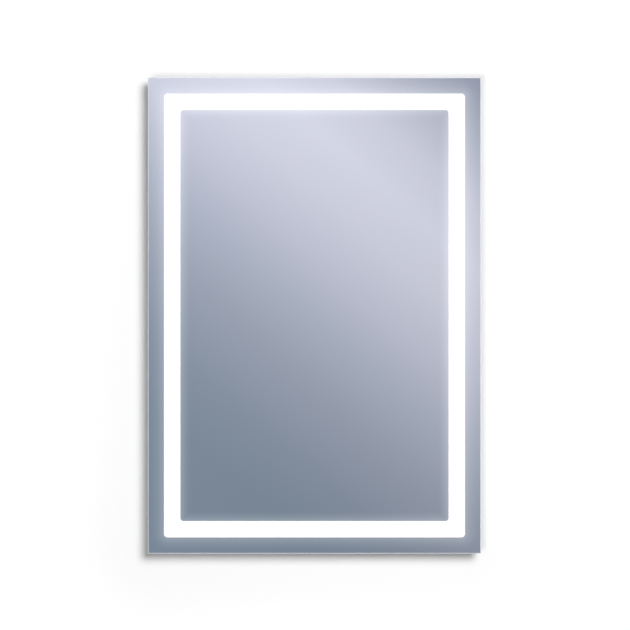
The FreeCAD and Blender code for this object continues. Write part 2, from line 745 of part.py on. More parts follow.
def make_back_panel():
    """Sheet panel with pressed beads, two rows of vents and its holes."""
    panel = new_piece("back_panel")
    half_x = FRAME_X - mm.frame_wall - mm.panel_play
    half_z = FRAME_Z - mm.frame_wall - mm.panel_play
    add(panel, FRONT, PANEL_BACK, mm.panel_thick, centred_box(half_x * 2, half_z * 2))
    flat = mm.bead_width / 2 - mm.bead_rise
    raised = outline([
        (PANEL_FRONT, mm.bead_lowest - mm.bead_width / 2),
        (PANEL_FRONT + mm.bead_rise, mm.bead_lowest - flat),
        (PANEL_FRONT + mm.bead_rise, mm.bead_lowest + flat),
        (PANEL_FRONT, mm.bead_lowest + mm.bead_width / 2)])
    bead = add(panel, SIDE, -mm.bead_length / 2, mm.bead_length, raised)
    repeat(panel, bead, "Z_Axis", mm.bead_pitch, mm.bead_count)
    hollow = outline([
        (PANEL_BACK, mm.bead_lowest - mm.bead_width / 2),
        (PANEL_BACK + mm.bead_rise, mm.bead_lowest - flat),
        (PANEL_BACK + mm.bead_rise, mm.bead_lowest + flat),
        (PANEL_BACK, mm.bead_lowest + mm.bead_width / 2)])
    inner = mm.bead_length - mm.panel_thick * 2
    groove = cut(panel, SIDE, -inner / 2, inner, hollow)
    repeat(panel, groove, "Z_Axis", mm.bead_pitch, mm.bead_count)
    first = -mm.vent_pitch * (mm.vent_count - 1) / 2
    for up in (mm.glass_height / 2 - mm.vent_from_top,
               mm.vent_from_bottom - mm.glass_height / 2):
        vent = cut(panel, FRONT, PANEL_BACK, mm.panel_thick,
                   centred_box(mm.vent_width, mm.vent_height, first, up))
        repeat(panel, vent, "X_Axis", mm.vent_pitch, mm.vent_count)
    small_spots = channel_screw_spots() + driver_screw_spots()
    holes = []
    for radius, spots in ((mm.panel_screw_radius, panel_screw_spots()),
                          (mm.rivet_radius, rivet_spots()),
                          (mm.small_screw_radius, small_spots)):
        holes += [circumscribed(x, z, radius + mm.hole_play) for x, z in spots]
    holes.append(grommet_hole())
    cut(panel, FRONT, PANEL_BACK, mm.panel_thick, *holes)


def make_bumpers():
    """Two rubber discs that hold the foot of the mirror off the wall."""
    bumpers = new_piece("wall_bumpers")
    up = mm.bumper_inset - mm.glass_height / 2
    across = mm.glass_width / 2 - mm.bumper_inset
    add(bumpers, FRONT, 0, PANEL_BACK,
        *[disc(sign * across, up, mm.bumper_radius) for sign in (1, -1)])


# --- hooked rails --------------------------------------------------------------------------------

def hook_section(direction, depth, seat, web):
    """A folded rail in (depth, z): a web, a step of its own thickness and a hook beyond it.

    direction is 1 for the wall rail, whose hook points up from its seat in front of the web,
    and -1 for the hanger rail, which is the same section turned over.
    """
    thick = mm.rail_thick
    back = depth if direction == 1 else depth + HOOK_DEPTH
    points = [
        (0, -web), (thick, -web), (thick, -thick), (HOOK_DEPTH, -thick),
        (HOOK_DEPTH, mm.rail_hook), (thick + mm.rail_gap, mm.rail_hook),
        (thick + mm.rail_gap, 0), (0, 0),
    ]
    return outline([(back + direction * away, seat + direction * up) for away, up in points])


def make_wall_rail():
    """The rail that is screwed to the wall."""
    rail = new_piece("wall_rail", centre_z=0)
    add(rail, SIDE, -mm.wall_rail_length / 2, mm.wall_rail_length,
        hook_section(1, 0, mm.rail_step, mm.rail_step + mm.rail_foot))
    cut(rail, FRONT, 0, mm.rail_thick,
        *[disc(sign * spacing / 2, 0, mm.wall_hole_radius)
          for spacing in (mm.wall_hole_outer, mm.wall_hole_inner) for sign in (1, -1)])


def make_hanger_rail():
    """The rail on the back panel that hooks over the wall rail."""
    rail = new_piece("hanger_rail")
    seat = RAIL_LINE + mm.rail_step + mm.rail_hook
    add(rail, SIDE, -mm.hanger_rail_length / 2, mm.hanger_rail_length,
        hook_section(-1, mm.rail_play, seat, mm.rail_thick + mm.rail_foot))
    cut(rail, FRONT, PANEL_BACK - mm.rail_thick, mm.rail_thick,
        *[circumscribed(x, z, mm.rivet_radius + mm.hole_play) for x, z in rivet_spots()])


# --- lighting --------------------------------------------------------------------------------------

def mirrored_outline(points, middle):
    """A closed outline from the points of its upper half, in (depth, z) about a middle line."""
    upper = [(depth, middle + up) for depth, up in points]
    lower = [(depth, middle - up) for depth, up in reversed(points)]
    return outline(upper + lower)


def make_led_channel(side):
    """A channel that holds an LED strip behind the lit band, with nibs for the opal cover."""
    half, out = side_reach(side, BAND_CENTRE_X, BAND_CENTRE_Z)
    channel = new_piece(f"led_channel_{side}", SIDES[side])
    reach = half - mm.channel_gap
    edge = mm.channel_width / 2
    inner = edge - mm.channel_wall
    nib_top = CHANNEL_RIM - mm.nib_down
    section = mirrored_outline([
        (CHANNEL_FLOOR, inner), (nib_top - mm.nib, inner), (nib_top - mm.nib / 2, inner - mm.nib),
        (nib_top, inner), (CHANNEL_RIM, inner), (CHANNEL_RIM, edge), (PANEL_FRONT, edge)], out)
    add(channel, SIDE, -reach, reach * 2, section)
    screw_x = reach - mm.channel_screw_end
    screw_z = out + mm.channel_screw_off
    cut(channel, FRONT, PANEL_FRONT, mm.channel_wall,
        *[circumscribed(sign * screw_x, screw_z, mm.small_screw_radius + mm.hole_play)
          for sign in (1, -1)])
    if side == "top":
        # The feed from the driver comes in through the lower wall, at the left end.
        cut(channel, TOP, out - edge, mm.channel_wall,
            lead_hole(FEED_X, LED_LEAD_DEPTH, mm.led_lead_radius))


def channel_screw_spots():
    """The screws through the floors of the LED channels, outside their centre lines."""
    end = mm.channel_gap + mm.channel_screw_end
    spots = []
    for sign_x, sign_z in CORNERS.values():
        spots.append((sign_x * (BAND_CENTRE_X - end),
                      sign_z * (BAND_CENTRE_Z + mm.channel_screw_off)))
        spots.append((sign_x * (BAND_CENTRE_X + mm.channel_screw_off),
                      sign_z * (BAND_CENTRE_Z - end)))
    return spots


def make_led_cover(side):
    """An opal cover whose legs snap under the channel's nibs."""
    half, out = side_reach(side, BAND_CENTRE_X, BAND_CENTRE_Z)
    cover = new_piece(f"led_cover_{side}", SIDES[side])
    reach = half - mm.channel_gap
    edge = mm.channel_width / 2
    leg = edge - mm.channel_wall - mm.nib - mm.cover_play
    foot = edge - mm.channel_wall - mm.cover_play
    nib_back = CHANNEL_RIM - mm.nib_down - mm.nib - mm.cover_play
    section = mirrored_outline([
        (CHANNEL_RIM, leg - mm.cover_thick), (CHANNEL_RIM - mm.cover_leg, leg - mm.cover_thick),
        (CHANNEL_RIM - mm.cover_leg, leg), (nib_back - mm.nib, foot), (nib_back, foot),
        (nib_back, leg), (CHANNEL_RIM, leg), (CHANNEL_RIM, edge),
        (CHANNEL_RIM + mm.cover_thick, edge)], out)
    add(cover, SIDE, -reach, reach * 2, section)


def make_led_strip(side):
    """A strip with its row of LEDs and a connector at each end."""
    half, out = side_reach(side, BAND_CENTRE_X, BAND_CENTRE_Z)
    strip = new_piece(f"led_strip_{side}", SIDES[side])
    reach = half - mm.channel_gap - mm.strip_margin
    add(strip, FRONT, CHANNEL_FLOOR, mm.strip_thick,
        centred_box(reach * 2, mm.strip_width, 0, out))
    add(strip, FRONT, CHANNEL_FLOOR + mm.strip_thick, mm.plug_high - mm.strip_thick,
        *[centred_box(mm.plug_long, mm.strip_width, sign * (reach - mm.plug_long / 2), out)
          for sign in (1, -1)])
    room = (reach - mm.plug_long) * 2 - mm.led_side * 2
    count = whole(room / mm.led_pitch) + 1
    led = add(strip, FRONT, CHANNEL_FLOOR + mm.strip_thick, mm.led_high,
              centred_box(mm.led_side, mm.led_side, -(count - 1) * mm.led_pitch / 2, out))
    repeat(strip, led, "X_Axis", mm.led_pitch, count)


# --- LED driver --------------------------------------------------------------------------------------

DRIVER_SPLIT = PANEL_FRONT + mm.driver_split
DRIVER_TOP = PANEL_FRONT + mm.driver_high
BOARD_BACK = PANEL_FRONT + mm.driver_wall + mm.board_rise
BOARD_FRONT = BOARD_BACK + mm.board_thick
SERVICE_LEAD_DEPTH = BOARD_FRONT + mm.mains_lead_radius + 1
BOARD_LENGTH = mm.driver_length - mm.driver_wall * 2 - mm.board_play * 2
BOARD_WIDTH = mm.driver_width - mm.driver_wall * 2 - mm.board_play * 2


def driver_screw_spots():
    """One screw in each ear of the driver."""
    along = mm.driver_length / 2 + mm.driver_ear / 2
    return [(DRIVER_X + sign * along, SERVICE_Z) for sign in (1, -1)]


def make_driver():
    """The driver's base with its ears, its cover, board, transformer and capacitors."""
    full = (mm.driver_length, mm.driver_width)
    room = (mm.driver_length - mm.driver_wall * 2, mm.driver_width - mm.driver_wall * 2)
    base = new_piece("driver_base")
    bevel = mm.driver_wall * 2
    add(base, FRONT, PANEL_FRONT, mm.driver_split, bevel_box(*full, bevel, DRIVER_X, SERVICE_Z))
    cut(base, FRONT, PANEL_FRONT + mm.driver_wall, mm.driver_split,
        bevel_box(*room, mm.driver_wall, DRIVER_X, SERVICE_Z))
    add(base, FRONT, PANEL_FRONT, mm.driver_wall,
        bevel_box(mm.driver_length + mm.driver_ear * 2, mm.driver_width / 2,
                  mm.driver_ear / 2, DRIVER_X, SERVICE_Z))
    across = BOARD_LENGTH / 2 - mm.boss_inset
    up = BOARD_WIDTH / 2 - mm.boss_inset
    add(base, FRONT, PANEL_FRONT + mm.driver_wall, mm.board_rise,
        *[inscribed(DRIVER_X + first * across, SERVICE_Z + second * up, mm.boss_radius)
          for first in (1, -1) for second in (1, -1)])
    cut(base, FRONT, PANEL_FRONT, mm.driver_wall,
        *[circumscribed(x, z, mm.small_screw_radius + mm.hole_play)
          for x, z in driver_screw_spots()])

    cover = new_piece("driver_cover")
    add(cover, FRONT, DRIVER_SPLIT, mm.driver_high - mm.driver_split,
        bevel_box(*full, bevel, DRIVER_X, SERVICE_Z))
    cut(cover, FRONT, DRIVER_SPLIT, mm.driver_high - mm.driver_split - mm.driver_wall,
        bevel_box(*room, mm.driver_wall, DRIVER_X, SERVICE_Z))
    first_slot = DRIVER_X - mm.slot_pitch * (mm.slot_count - 1) / 2
    slot = cut(cover, FRONT, DRIVER_TOP - mm.driver_wall, mm.driver_wall,
               centred_box(mm.slot_width, mm.driver_width / 2, first_slot, SERVICE_Z))
    repeat(cover, slot, "X_Axis", mm.slot_pitch, mm.slot_count)
    end = mm.driver_length / 2
    for start, radius, up in ((DRIVER_X + end - mm.driver_wall, mm.mains_lead_radius, MAINS_Z),
                              (DRIVER_X - end, mm.led_lead_radius, LED_FEED_Z)):
        cut(cover, SIDE, start, mm.driver_wall, lead_hole(SERVICE_LEAD_DEPTH, up, radius))

    board = new_piece("driver_board")
    add(board, FRONT, BOARD_BACK, mm.board_thick,
        centred_box(BOARD_LENGTH, BOARD_WIDTH, DRIVER_X, SERVICE_Z))
    plug_x = (BOARD_LENGTH - mm.board_plug_long) / 2
    add(board, FRONT, BOARD_FRONT, mm.board_plug_high,
        *[centred_box(mm.board_plug_long, mm.board_plug_wide, DRIVER_X + sign * plug_x, up)
          for sign, up in ((1, MAINS_Z), (-1, LED_FEED_Z))])

    core = new_piece("driver_transformer")
    add(core, FRONT, BOARD_FRONT, mm.core_high,
        centred_box(mm.core_length, mm.core_width, DRIVER_X, SERVICE_Z))

    capacitors = new_piece("driver_capacitors")
    cap_x = mm.core_length / 2 + mm.cap_gap
    add(capacitors, FRONT, BOARD_FRONT, mm.cap_high,
        *[inscribed(DRIVER_X + first * cap_x, SERVICE_Z + second * mm.cap_pitch / 2,
                    mm.cap_radius, CAN_SIDES)
          for first in (1, -1) for second in (1, -1)])

    fasteners("driver_screws", driver_screw_spots(),
              (mm.small_screw_head, PANEL_FRONT + mm.driver_wall, mm.small_head_high),
              (mm.small_screw_radius, PANEL_BACK - 1, mm.driver_wall + mm.panel_thick + 1))


# --- mains terminal box ---------------------------------------------------------------------------

BLOCK_X = BOX_X - mm.box_length / 2 + mm.box_wall + 5 + mm.block_length / 2
CLAMP_X = BOX_X + 2
LID_BACK = PANEL_FRONT + mm.box_high
BOX_BOSS = 3.2
MAINS_Z = SERVICE_Z + 8
LED_FEED_Z = SERVICE_Z - 8
BLOCK_LOW = SERVICE_Z - mm.block_width / 2
BLOCK_HIGH = SERVICE_Z + mm.block_width / 2


def box_screw_spots():
    """The two lid screws, at opposite corners."""
    across = mm.box_length / 2 - mm.box_wall - BOX_BOSS + 1
    up = mm.box_width / 2 - mm.box_wall - BOX_BOSS + 1
    return [(BOX_X + sign * across, SERVICE_Z - sign * up) for sign in (1, -1)]


def clamp_screw_spots():
    """The two screws of the cable clamp."""
    return [(CLAMP_X, SERVICE_Z + sign * (mm.clamp_length / 2 - mm.clamp_screw_inset))
            for sign in (1, -1)]


def grommet_hole():
    """The hole for the neck of the cable grommet."""
    return circumscribed(ENTRY_X, SERVICE_Z, mm.grommet_neck + mm.hole_play, GROMMET_SIDES)


def lead_hole(across, up, radius):
    """A hole for a lead."""
    return circumscribed(across, up, radius + mm.lead_play, LEAD_SIDES)


def make_terminal_box():
    """The box over the cable entry, its lid, block, clamp and grommet."""
    case = new_piece("terminal_box")
    outer = bevel_box(mm.box_length, mm.box_width, mm.box_wall * 2, BOX_X, SERVICE_Z)
    screw_hole = mm.small_screw_radius + mm.hole_play
    add(case, FRONT, PANEL_FRONT, mm.box_high, outer)
    cut(case, FRONT, BOX_FLOOR, mm.box_high,
        bevel_box(mm.box_length - mm.box_wall * 2, mm.box_width - mm.box_wall * 2, mm.box_wall,
                  BOX_X, SERVICE_Z))
    add(case, FRONT, BOX_FLOOR, mm.box_high - mm.box_wall,
        *[circumscribed(x, z, BOX_BOSS) for x, z in box_screw_spots()])
    add(case, FRONT, BOX_FLOOR, mm.clamp_rise,
        *[circumscribed(x, z, mm.boss_radius) for x, z in clamp_screw_spots()])
    cut(case, FRONT, LID_BACK - 10, 10,
        *[circumscribed(x, z, screw_hole) for x, z in box_screw_spots()])
    cut(case, FRONT, BOX_FLOOR + 2, mm.clamp_rise,
        *[circumscribed(x, z, screw_hole) for x, z in clamp_screw_spots()])
    cut(case, FRONT, PANEL_FRONT, mm.box_wall, grommet_hole())
    cut(case, SIDE, BOX_X - mm.box_length / 2, mm.box_wall,
        lead_hole(SERVICE_LEAD_DEPTH, MAINS_Z, mm.mains_lead_radius))
    low = SERVICE_Z - mm.box_width / 2
    cut(case, TOP, low, mm.box_wall,
        lead_hole(DEMISTER_LEAD_X, SERVICE_LEAD_DEPTH, mm.demister_lead_radius),
        lead_hole(SWITCH_LEAD_X, SERVICE_LEAD_DEPTH, mm.switch_lead_radius))
    cut(case, TOP, SERVICE_Z + mm.box_width / 2 - mm.box_wall, mm.box_wall,
        lead_hole(EARTH_LEAD_X, SERVICE_LEAD_DEPTH, mm.earth_lead_radius))

    lid = new_piece("terminal_box_lid")
    add(lid, FRONT, LID_BACK, mm.box_wall, outer)
    rim = mm.box_wall + SEAT_GAP
    cut(lid, FRONT, LID_BACK, mm.box_wall,
        *[circumscribed(x, z, screw_hole) for x, z in box_screw_spots()])
    ridge = mm.box_length / 2 - rim - BOX_BOSS * 2
    add(lid, FRONT, LID_BACK - 2, 2,
        *[centred_box(ridge * 2, 1.5, BOX_X, SERVICE_Z + sign * (mm.box_width / 2 - rim - 0.75))
          for sign in (1, -1)])
    fasteners("terminal_box_screws", box_screw_spots(),
              (mm.small_screw_head, LID_BACK + mm.box_wall, mm.small_head_high),
              (mm.small_screw_radius, LID_BACK - 6, mm.box_wall + 6))

    block = new_piece("terminal_block")
    add(block, FRONT, BOX_FLOOR, mm.block_high,
        centred_box(mm.block_length, mm.block_width, BLOCK_X, SERVICE_Z))
    poles = [(BLOCK_X + side * 5, SERVICE_Z + place)
             for side in (1, -1) for place in spread(3, mm.pole_pitch)]
    cut(block, FRONT, BOX_FLOOR + mm.block_high - 4, 4,
        *[circumscribed(x, z, mm.pole_screw + mm.hole_play) for x, z in poles])
    screws = new_piece("terminal_block_screws")
    add(screws, FRONT, BOX_FLOOR + mm.block_high - 4, 3,
        *[inscribed(x, z, mm.pole_screw) for x, z in poles])

    clamp = new_piece("cable_clamp")
    clamp_back = BOX_FLOOR + mm.clamp_rise
    add(clamp, FRONT, clamp_back, mm.clamp_thick,
        bevel_box(mm.clamp_width, mm.clamp_length, mm.box_wall, CLAMP_X, SERVICE_Z))
    cut(clamp, FRONT, clamp_back, mm.clamp_thick,
        *[circumscribed(x, z, screw_hole) for x, z in clamp_screw_spots()])
    fasteners("cable_clamp_screws", clamp_screw_spots(),
              (mm.small_screw_head, clamp_back + mm.clamp_thick, mm.small_head_high),
              (mm.small_screw_radius, BOX_FLOOR + 3, mm.clamp_rise + mm.clamp_thick - 3))

    grommet = new_piece("cable_grommet")
    neck = mm.panel_thick + mm.box_wall
    for start, length, radius in (
            (PANEL_BACK - mm.grommet_lip, mm.grommet_lip, mm.grommet_flange),
            (PANEL_BACK, neck, mm.grommet_neck),
            (PANEL_BACK + neck, mm.grommet_lip, mm.grommet_flange)):
        add(grommet, FRONT, start, length,
            inscribed(ENTRY_X, SERVICE_Z, radius, GROMMET_SIDES))
    cut(grommet, FRONT, PANEL_BACK - mm.grommet_lip, neck + mm.grommet_lip * 2,
        disc(ENTRY_X, SERVICE_Z, mm.entry_radius))


# --- earth stud --------------------------------------------------------------------------------------

EARTH_X = BOX_X + 62
EARTH_Z = SERVICE_Z + 36
EARTH_LEAD_X = BLOCK_X - 4
TAG_BARREL = 7


def make_earth():
    """A stud on the back panel, with a ring tag under its nut."""
    stud = new_piece("earth_stud")
    add(stud, FRONT, PANEL_FRONT, mm.stud_high, inscribed(EARTH_X, EARTH_Z, mm.stud_radius))
    bore = mm.stud_radius + mm.hole_play
    fixings = new_piece("earth_nut_and_tag")
    add(fixings, FRONT, PANEL_FRONT, mm.tag_thick,
        outline([(EARTH_X + 4, EARTH_Z - 4), (EARTH_X - TAG_BARREL, EARTH_Z - 2),
                 (EARTH_X - TAG_BARREL, EARTH_Z + 2), (EARTH_X + 4, EARTH_Z + 4)]))
    add(fixings, FRONT, PANEL_FRONT, mm.earth_lead_radius * 2 + mm.tag_thick * 2,
        box(EARTH_X - TAG_BARREL - 5, EARTH_Z - 2.2, EARTH_X - TAG_BARREL, EARTH_Z + 2.2))
    add(fixings, FRONT, PANEL_FRONT + mm.tag_thick, mm.nut_high,
        circumscribed(EARTH_X, EARTH_Z, mm.nut_across / 2))
    cut(fixings, FRONT, PANEL_FRONT, mm.tag_thick + mm.nut_high,
        circumscribed(EARTH_X, EARTH_Z, bore))


# --- leads ------------------------------------------------------------------------------------------

SWITCH_X = FRAME_X - mm.switch_from_corner
SWITCH_FACE = -FRAME_Z
DEMISTER_LEAD_X = BLOCK_X - 4
SWITCH_LEAD_X = BLOCK_X + 4
DEMISTER_TAB_TOP = mm.glass_height / 2 - mm.pad_top - 20
FEED_X = mm.feed_end + mm.channel_gap - BAND_CENTRE_X
CLIPPED_DEPTH = PANEL_FRONT + mm.clip_base + mm.switch_lead_radius + mm.lead_play
SWITCH_RUN_X = BAND_CENTRE_X - mm.channel_width / 2 - mm.switch_run_inset
SWITCH_RUN_TOP = SERVICE_Z - mm.box_width / 2 - mm.switch_run_drop
SWITCH_RUN_FOOT = mm.switch_run_rise - BAND_CENTRE_Z
SWITCH_PLUG_Z = SWITCH_FACE + mm.switch_high + SEAT_GAP + mm.socket_high


def lead_routes():
    """Each lead's radius and its routes, as points (x, depth, z) about the pane's centre."""
    block_left = BLOCK_X - mm.block_length / 2
    driver_right = DRIVER_X + BOARD_LENGTH / 2
    driver_left = DRIVER_X - BOARD_LENGTH / 2
    straight = SERVICE_LEAD_DEPTH
    low = SERVICE_Z - mm.box_width / 2
    strip_end = BAND_CENTRE_X - mm.channel_gap - mm.strip_margin
    strip_end_z = BAND_CENTRE_Z - mm.channel_gap - mm.strip_margin
    pad_depth = COAT_BACK - mm.pad_thick - mm.demister_lead_radius - SEAT_GAP
    earth_depth = PANEL_FRONT + mm.tag_thick + mm.earth_lead_radius
    feed = LED_LEAD_DEPTH
    gap = (mm.channel_gap + mm.channel_width / 2) / 2
    gap_x = BAND_CENTRE_X - gap
    gap_z = BAND_CENTRE_Z - gap
    links = []
    for corner in ("top_right", "bottom_right", "bottom_left"):
        sign_x, sign_z = CORNERS[corner]
        links.append([(sign_x * strip_end, feed, sign_z * BAND_CENTRE_Z),
                      (sign_x * BAND_CENTRE_X, feed, sign_z * BAND_CENTRE_Z),
                      (sign_x * BAND_CENTRE_X, feed, sign_z * strip_end_z)])
    return {
        "mains_lead": (mm.mains_lead_radius, [[
            (block_left, straight, MAINS_Z), (driver_right, straight, MAINS_Z)]]),
        "led_lead": (mm.led_lead_radius, [[
            (driver_left, straight, LED_FEED_Z),
            (driver_left - 36, straight, LED_FEED_Z),
            (FEED_X + 22, feed + mm.clip_base, LED_FEED_Z + 12),
            (FEED_X, feed + mm.clip_base, LED_FEED_Z + 46),
            (FEED_X, feed + mm.clip_base, BAND_CENTRE_Z - mm.channel_width / 2 - 24),
            (FEED_X, feed, BAND_CENTRE_Z - mm.channel_width / 2 - 6),
            (FEED_X, feed, BAND_CENTRE_Z),
            (-strip_end, feed, BAND_CENTRE_Z)]]),
        "led_link_leads": (mm.led_lead_radius, links),
        "demister_lead": (mm.demister_lead_radius, [[
            (DEMISTER_LEAD_X, straight, BLOCK_LOW),
            (DEMISTER_LEAD_X, straight, low - 8),
            (DEMISTER_LEAD_X, pad_depth, low - 26),
            (DEMISTER_LEAD_X, pad_depth, DEMISTER_TAB_TOP)]]),
        "switch_lead": (mm.switch_lead_radius, [[
            (SWITCH_LEAD_X, straight, BLOCK_LOW),
            (SWITCH_LEAD_X, straight, low - 8),
            (SWITCH_LEAD_X + 8, CLIPPED_DEPTH, low - 32),
            (SWITCH_LEAD_X + 50, CLIPPED_DEPTH, low - 66),
            (SWITCH_RUN_X - 40, CLIPPED_DEPTH, low - 88),
            (SWITCH_RUN_X, CLIPPED_DEPTH, SWITCH_RUN_TOP),
            (SWITCH_RUN_X, CLIPPED_DEPTH, SWITCH_RUN_FOOT),
            (gap_x - 14, mm.switch_depth, 24 - BAND_CENTRE_Z),
            (SWITCH_X, mm.switch_depth, -gap_z),
            (SWITCH_X, mm.switch_depth, SWITCH_PLUG_Z)]]),
        "earth_lead": (mm.earth_lead_radius, [[
            (EARTH_LEAD_X, straight, BLOCK_HIGH),
            (EARTH_LEAD_X, straight, EARTH_Z),
            (EARTH_LEAD_X + 22, earth_depth, EARTH_Z + 10),
            (EARTH_X - TAG_BARREL - 24, earth_depth, EARTH_Z),
            (EARTH_X - TAG_BARREL - 5, earth_depth, EARTH_Z)]]),
    }


def rounded_path(points):
    """A wire of straight runs joined by tangent arcs, and the radii of the arcs."""
    edges = []
    radii = []
    start = points[0]
    for before, corner, after in zip(points, points[1:], points[2:]):
        arriving = before - corner
        leaving = after - corner
        trim = 0.45 * min(arriving.Length, leaving.Length)
        half_turn = (math.pi - arriving.getAngle(leaving)) / 2
        arriving.normalize()
        leaving.normalize()
        radius = trim / math.tan(half_turn)
        radii.append(radius)
        bisector = (arriving + leaving).normalize()
        centre = corner + bisector * (radius / math.cos(half_turn))
        first = corner + arriving * trim
        middle = centre - bisector * radius
        last = corner + leaving * trim
        edges.append(Part.LineSegment(start, first).toShape())
        edges.append(Part.Arc(first, middle, last).toShape())
        start = last
    edges.append(Part.LineSegment(start, points[-1]).toShape())
    return Part.Wire(edges), radii


def make_leads():
    """Leads swept along their routes, with a few flat sides."""
    for label, (radius, routes) in lead_routes().items():
        tubes = []
        for route in routes:
            points = [Vector(as_size(x).value, -as_size(depth).value, as_size(z).value)
                      for x, depth, z in route]
            path, radii = rounded_path(points)
            circle = Part.Circle(points[0], points[1] - points[0], radius.value)
            corners = [circle.value(2 * math.pi * number / LEAD_SIDES)
                       for number in range(LEAD_SIDES)]
            profile = Part.makePolygon(corners + corners[:1])
            tube = path.makePipeShell([profile], True, False)
            expected = path.Length * Part.Face(profile).Area
            print(label, "length", round(path.Length, 1), "volume share",
                  round(tube.Volume / expected, 4), "radii", [round(value, 1) for value in radii])
            tubes.append(tube)
        lead = doc.addObject("Part::Feature", label)
        lead.Label = label
        lead.Shape = tubes[0] if len(tubes) == 1 else Part.makeCompound(tubes)
        lead.Placement = Placement(Vector(0, 0, PANE_CENTRE.value), Rotation())
        pieces.append(lead)


def make_clips():
    """Adhesive clips that hold the leads to the back panel."""
    clips = new_piece("lead_clips")
    clip(clips, FEED_X, SERVICE_Z + 96, mm.led_lead_radius, LED_LEAD_DEPTH + mm.clip_base)
    middle = (SWITCH_RUN_TOP + SWITCH_RUN_FOOT) / 2
    clipped = SWITCH_RUN_TOP - SWITCH_RUN_FOOT - mm.switch_clip_end * 2
    pitch = clipped / (mm.switch_clip_count - 1)
    for place in spread(SIZES["switch_clip_count"][0], pitch):
        clip(clips, SWITCH_RUN_X, middle + place, mm.switch_lead_radius, CLIPPED_DEPTH)


def clip(body, across, up, radius, depth):
    """One clip round a lead that runs upwards."""
    bore = radius + mm.lead_play
    half = bore + mm.clip_wall
    add(body, TOP, up - mm.clip_long / 2, mm.clip_long,
        box(across - half - 4, PANEL_FRONT, across + half, depth + half))
    cut(body, TOP, up - mm.clip_long / 2, mm.clip_long,
        box(across - half - 4, PANEL_FRONT + 1.5, across - half, depth + half),
        lead_hole(across, depth, radius))


# --- rocker switch ------------------------------------------------------------------------------------

def make_switch():
    """A snap-in rocker switch in the bottom rail, with its rocker, blades and plug."""
    middle = (SWITCH_X, mm.switch_depth)
    outer = SWITCH_FACE - mm.bezel_thick
    body = new_piece("switch_body")
    add(body, TOP, outer, mm.bezel_thick, round_box(mm.bezel_length, mm.bezel_width, 1.5, *middle))
    add(body, TOP, SWITCH_FACE, mm.switch_high,
        centred_box(mm.switch_length, mm.switch_width, *middle))
    for sign in (1, -1):
        edge = SWITCH_X + sign * mm.switch_length / 2
        seat = SWITCH_FACE + mm.frame_wall + 0.1
        add(body, FRONT, mm.switch_depth - 2.5, 5, outline([
            (edge - sign, seat), (edge + sign * mm.catch_out, seat),
            (edge, seat + 6), (edge - sign, seat + 6)]))
    cut(body, TOP, outer, mm.well_deep, centred_box(mm.well_length, mm.well_width, *middle))
    pivot_z = outer + mm.pivot_out
    bore = mm.pivot_long + mm.rocker_width / 2 + mm.pivot_play * 2
    cut(body, FRONT, mm.switch_depth - bore, bore * 2,
        disc(SWITCH_X, pivot_z, mm.pivot_radius + mm.pivot_play))

    # At rest the rocker's right half is pressed in. It is drawn about its pivot, level, and
    # tilted by its placement.
    rocker = new_piece("switch_rocker", 0, SWITCH_X, mm.switch_depth, PANE_CENTRE + pivot_z)
    rocker.Placement = Placement(rocker.Placement.Base, Rotation(Vector(0, 1, 0), 1))
    bind(rocker, "Placement.Rotation.Angle", -mm.rocker_tilt)
    half = mm.rocker_length / 2
    rise = half * tangent(mm.rocker_tilt)
    add(rocker, FRONT, -mm.rocker_width / 2, mm.rocker_width, outline([
        (-half, -(mm.rocker_dip + rise)), (0, -mm.rocker_dip), (half, -(mm.rocker_dip + rise)),
        (half, mm.rocker_back / 2), (half * 0.7, mm.rocker_back), (-half * 0.7, mm.rocker_back),
        (-half, mm.rocker_back / 2)]))
    pin = mm.rocker_width / 2 + mm.pivot_long
    add(rocker, FRONT, -pin, pin * 2, disc(0, 0, mm.pivot_radius))

    inner_end = SWITCH_FACE + mm.switch_high
    blades = new_piece("switch_blades")
    spots = [SWITCH_X + place for place in spread(2, mm.blade_pitch)]
    add(blades, TOP, inner_end, mm.blade_length,
        *[centred_box(mm.blade_thick, mm.blade_width, spot, mm.switch_depth) for spot in spots])
    plug = new_piece("switch_plug")
    add(plug, TOP, inner_end + SEAT_GAP, mm.socket_high,
        bevel_box(mm.socket_length, mm.socket_width, 1.5, *middle))
    cut(plug, TOP, inner_end + SEAT_GAP, mm.blade_length,
        *[centred_box(mm.blade_thick + 0.2, mm.blade_width + 0.2, spot, mm.switch_depth)
          for spot in spots])


# --- the whole mirror ----------------------------------------------------------------------------------

make_wall_rail()
make_hanger_rail()
fasteners("hanger_rail_rivets", rivet_spots(),
          (mm.rivet_head, PANEL_BACK - mm.rail_thick - mm.rivet_head_high, mm.rivet_head_high),
          (mm.rivet_radius, PANEL_BACK - mm.rail_thick, mm.rail_thick + mm.panel_thick + 2))
make_pane()
make_glass_tape()
make_demister()
for side in SIDES:
    make_frame_rail(side)
for corner in CORNERS:
    make_corner_key(corner)
make_key_screws()
make_back_panel()
fasteners("back_panel_screws", panel_screw_spots(),
          (mm.panel_screw_head, PANEL_BACK - 1.8, as_size(1.8)),
          (mm.panel_screw_radius, PANEL_BACK, mm.panel_thick + mm.frame_wall + 2))
make_bumpers()
for side in SIDES:
    make_led_channel(side)
    make_led_cover(side)
    make_led_strip(side)
fasteners("led_channel_screws", channel_screw_spots(),
          (mm.small_screw_head, CHANNEL_FLOOR, mm.small_head_high),
          (mm.small_screw_radius, PANEL_BACK - 1, mm.channel_wall + mm.panel_thick + 1))
make_driver()
make_terminal_box()
make_earth()
make_leads()
make_clips()
make_switch()

doc.recompute()

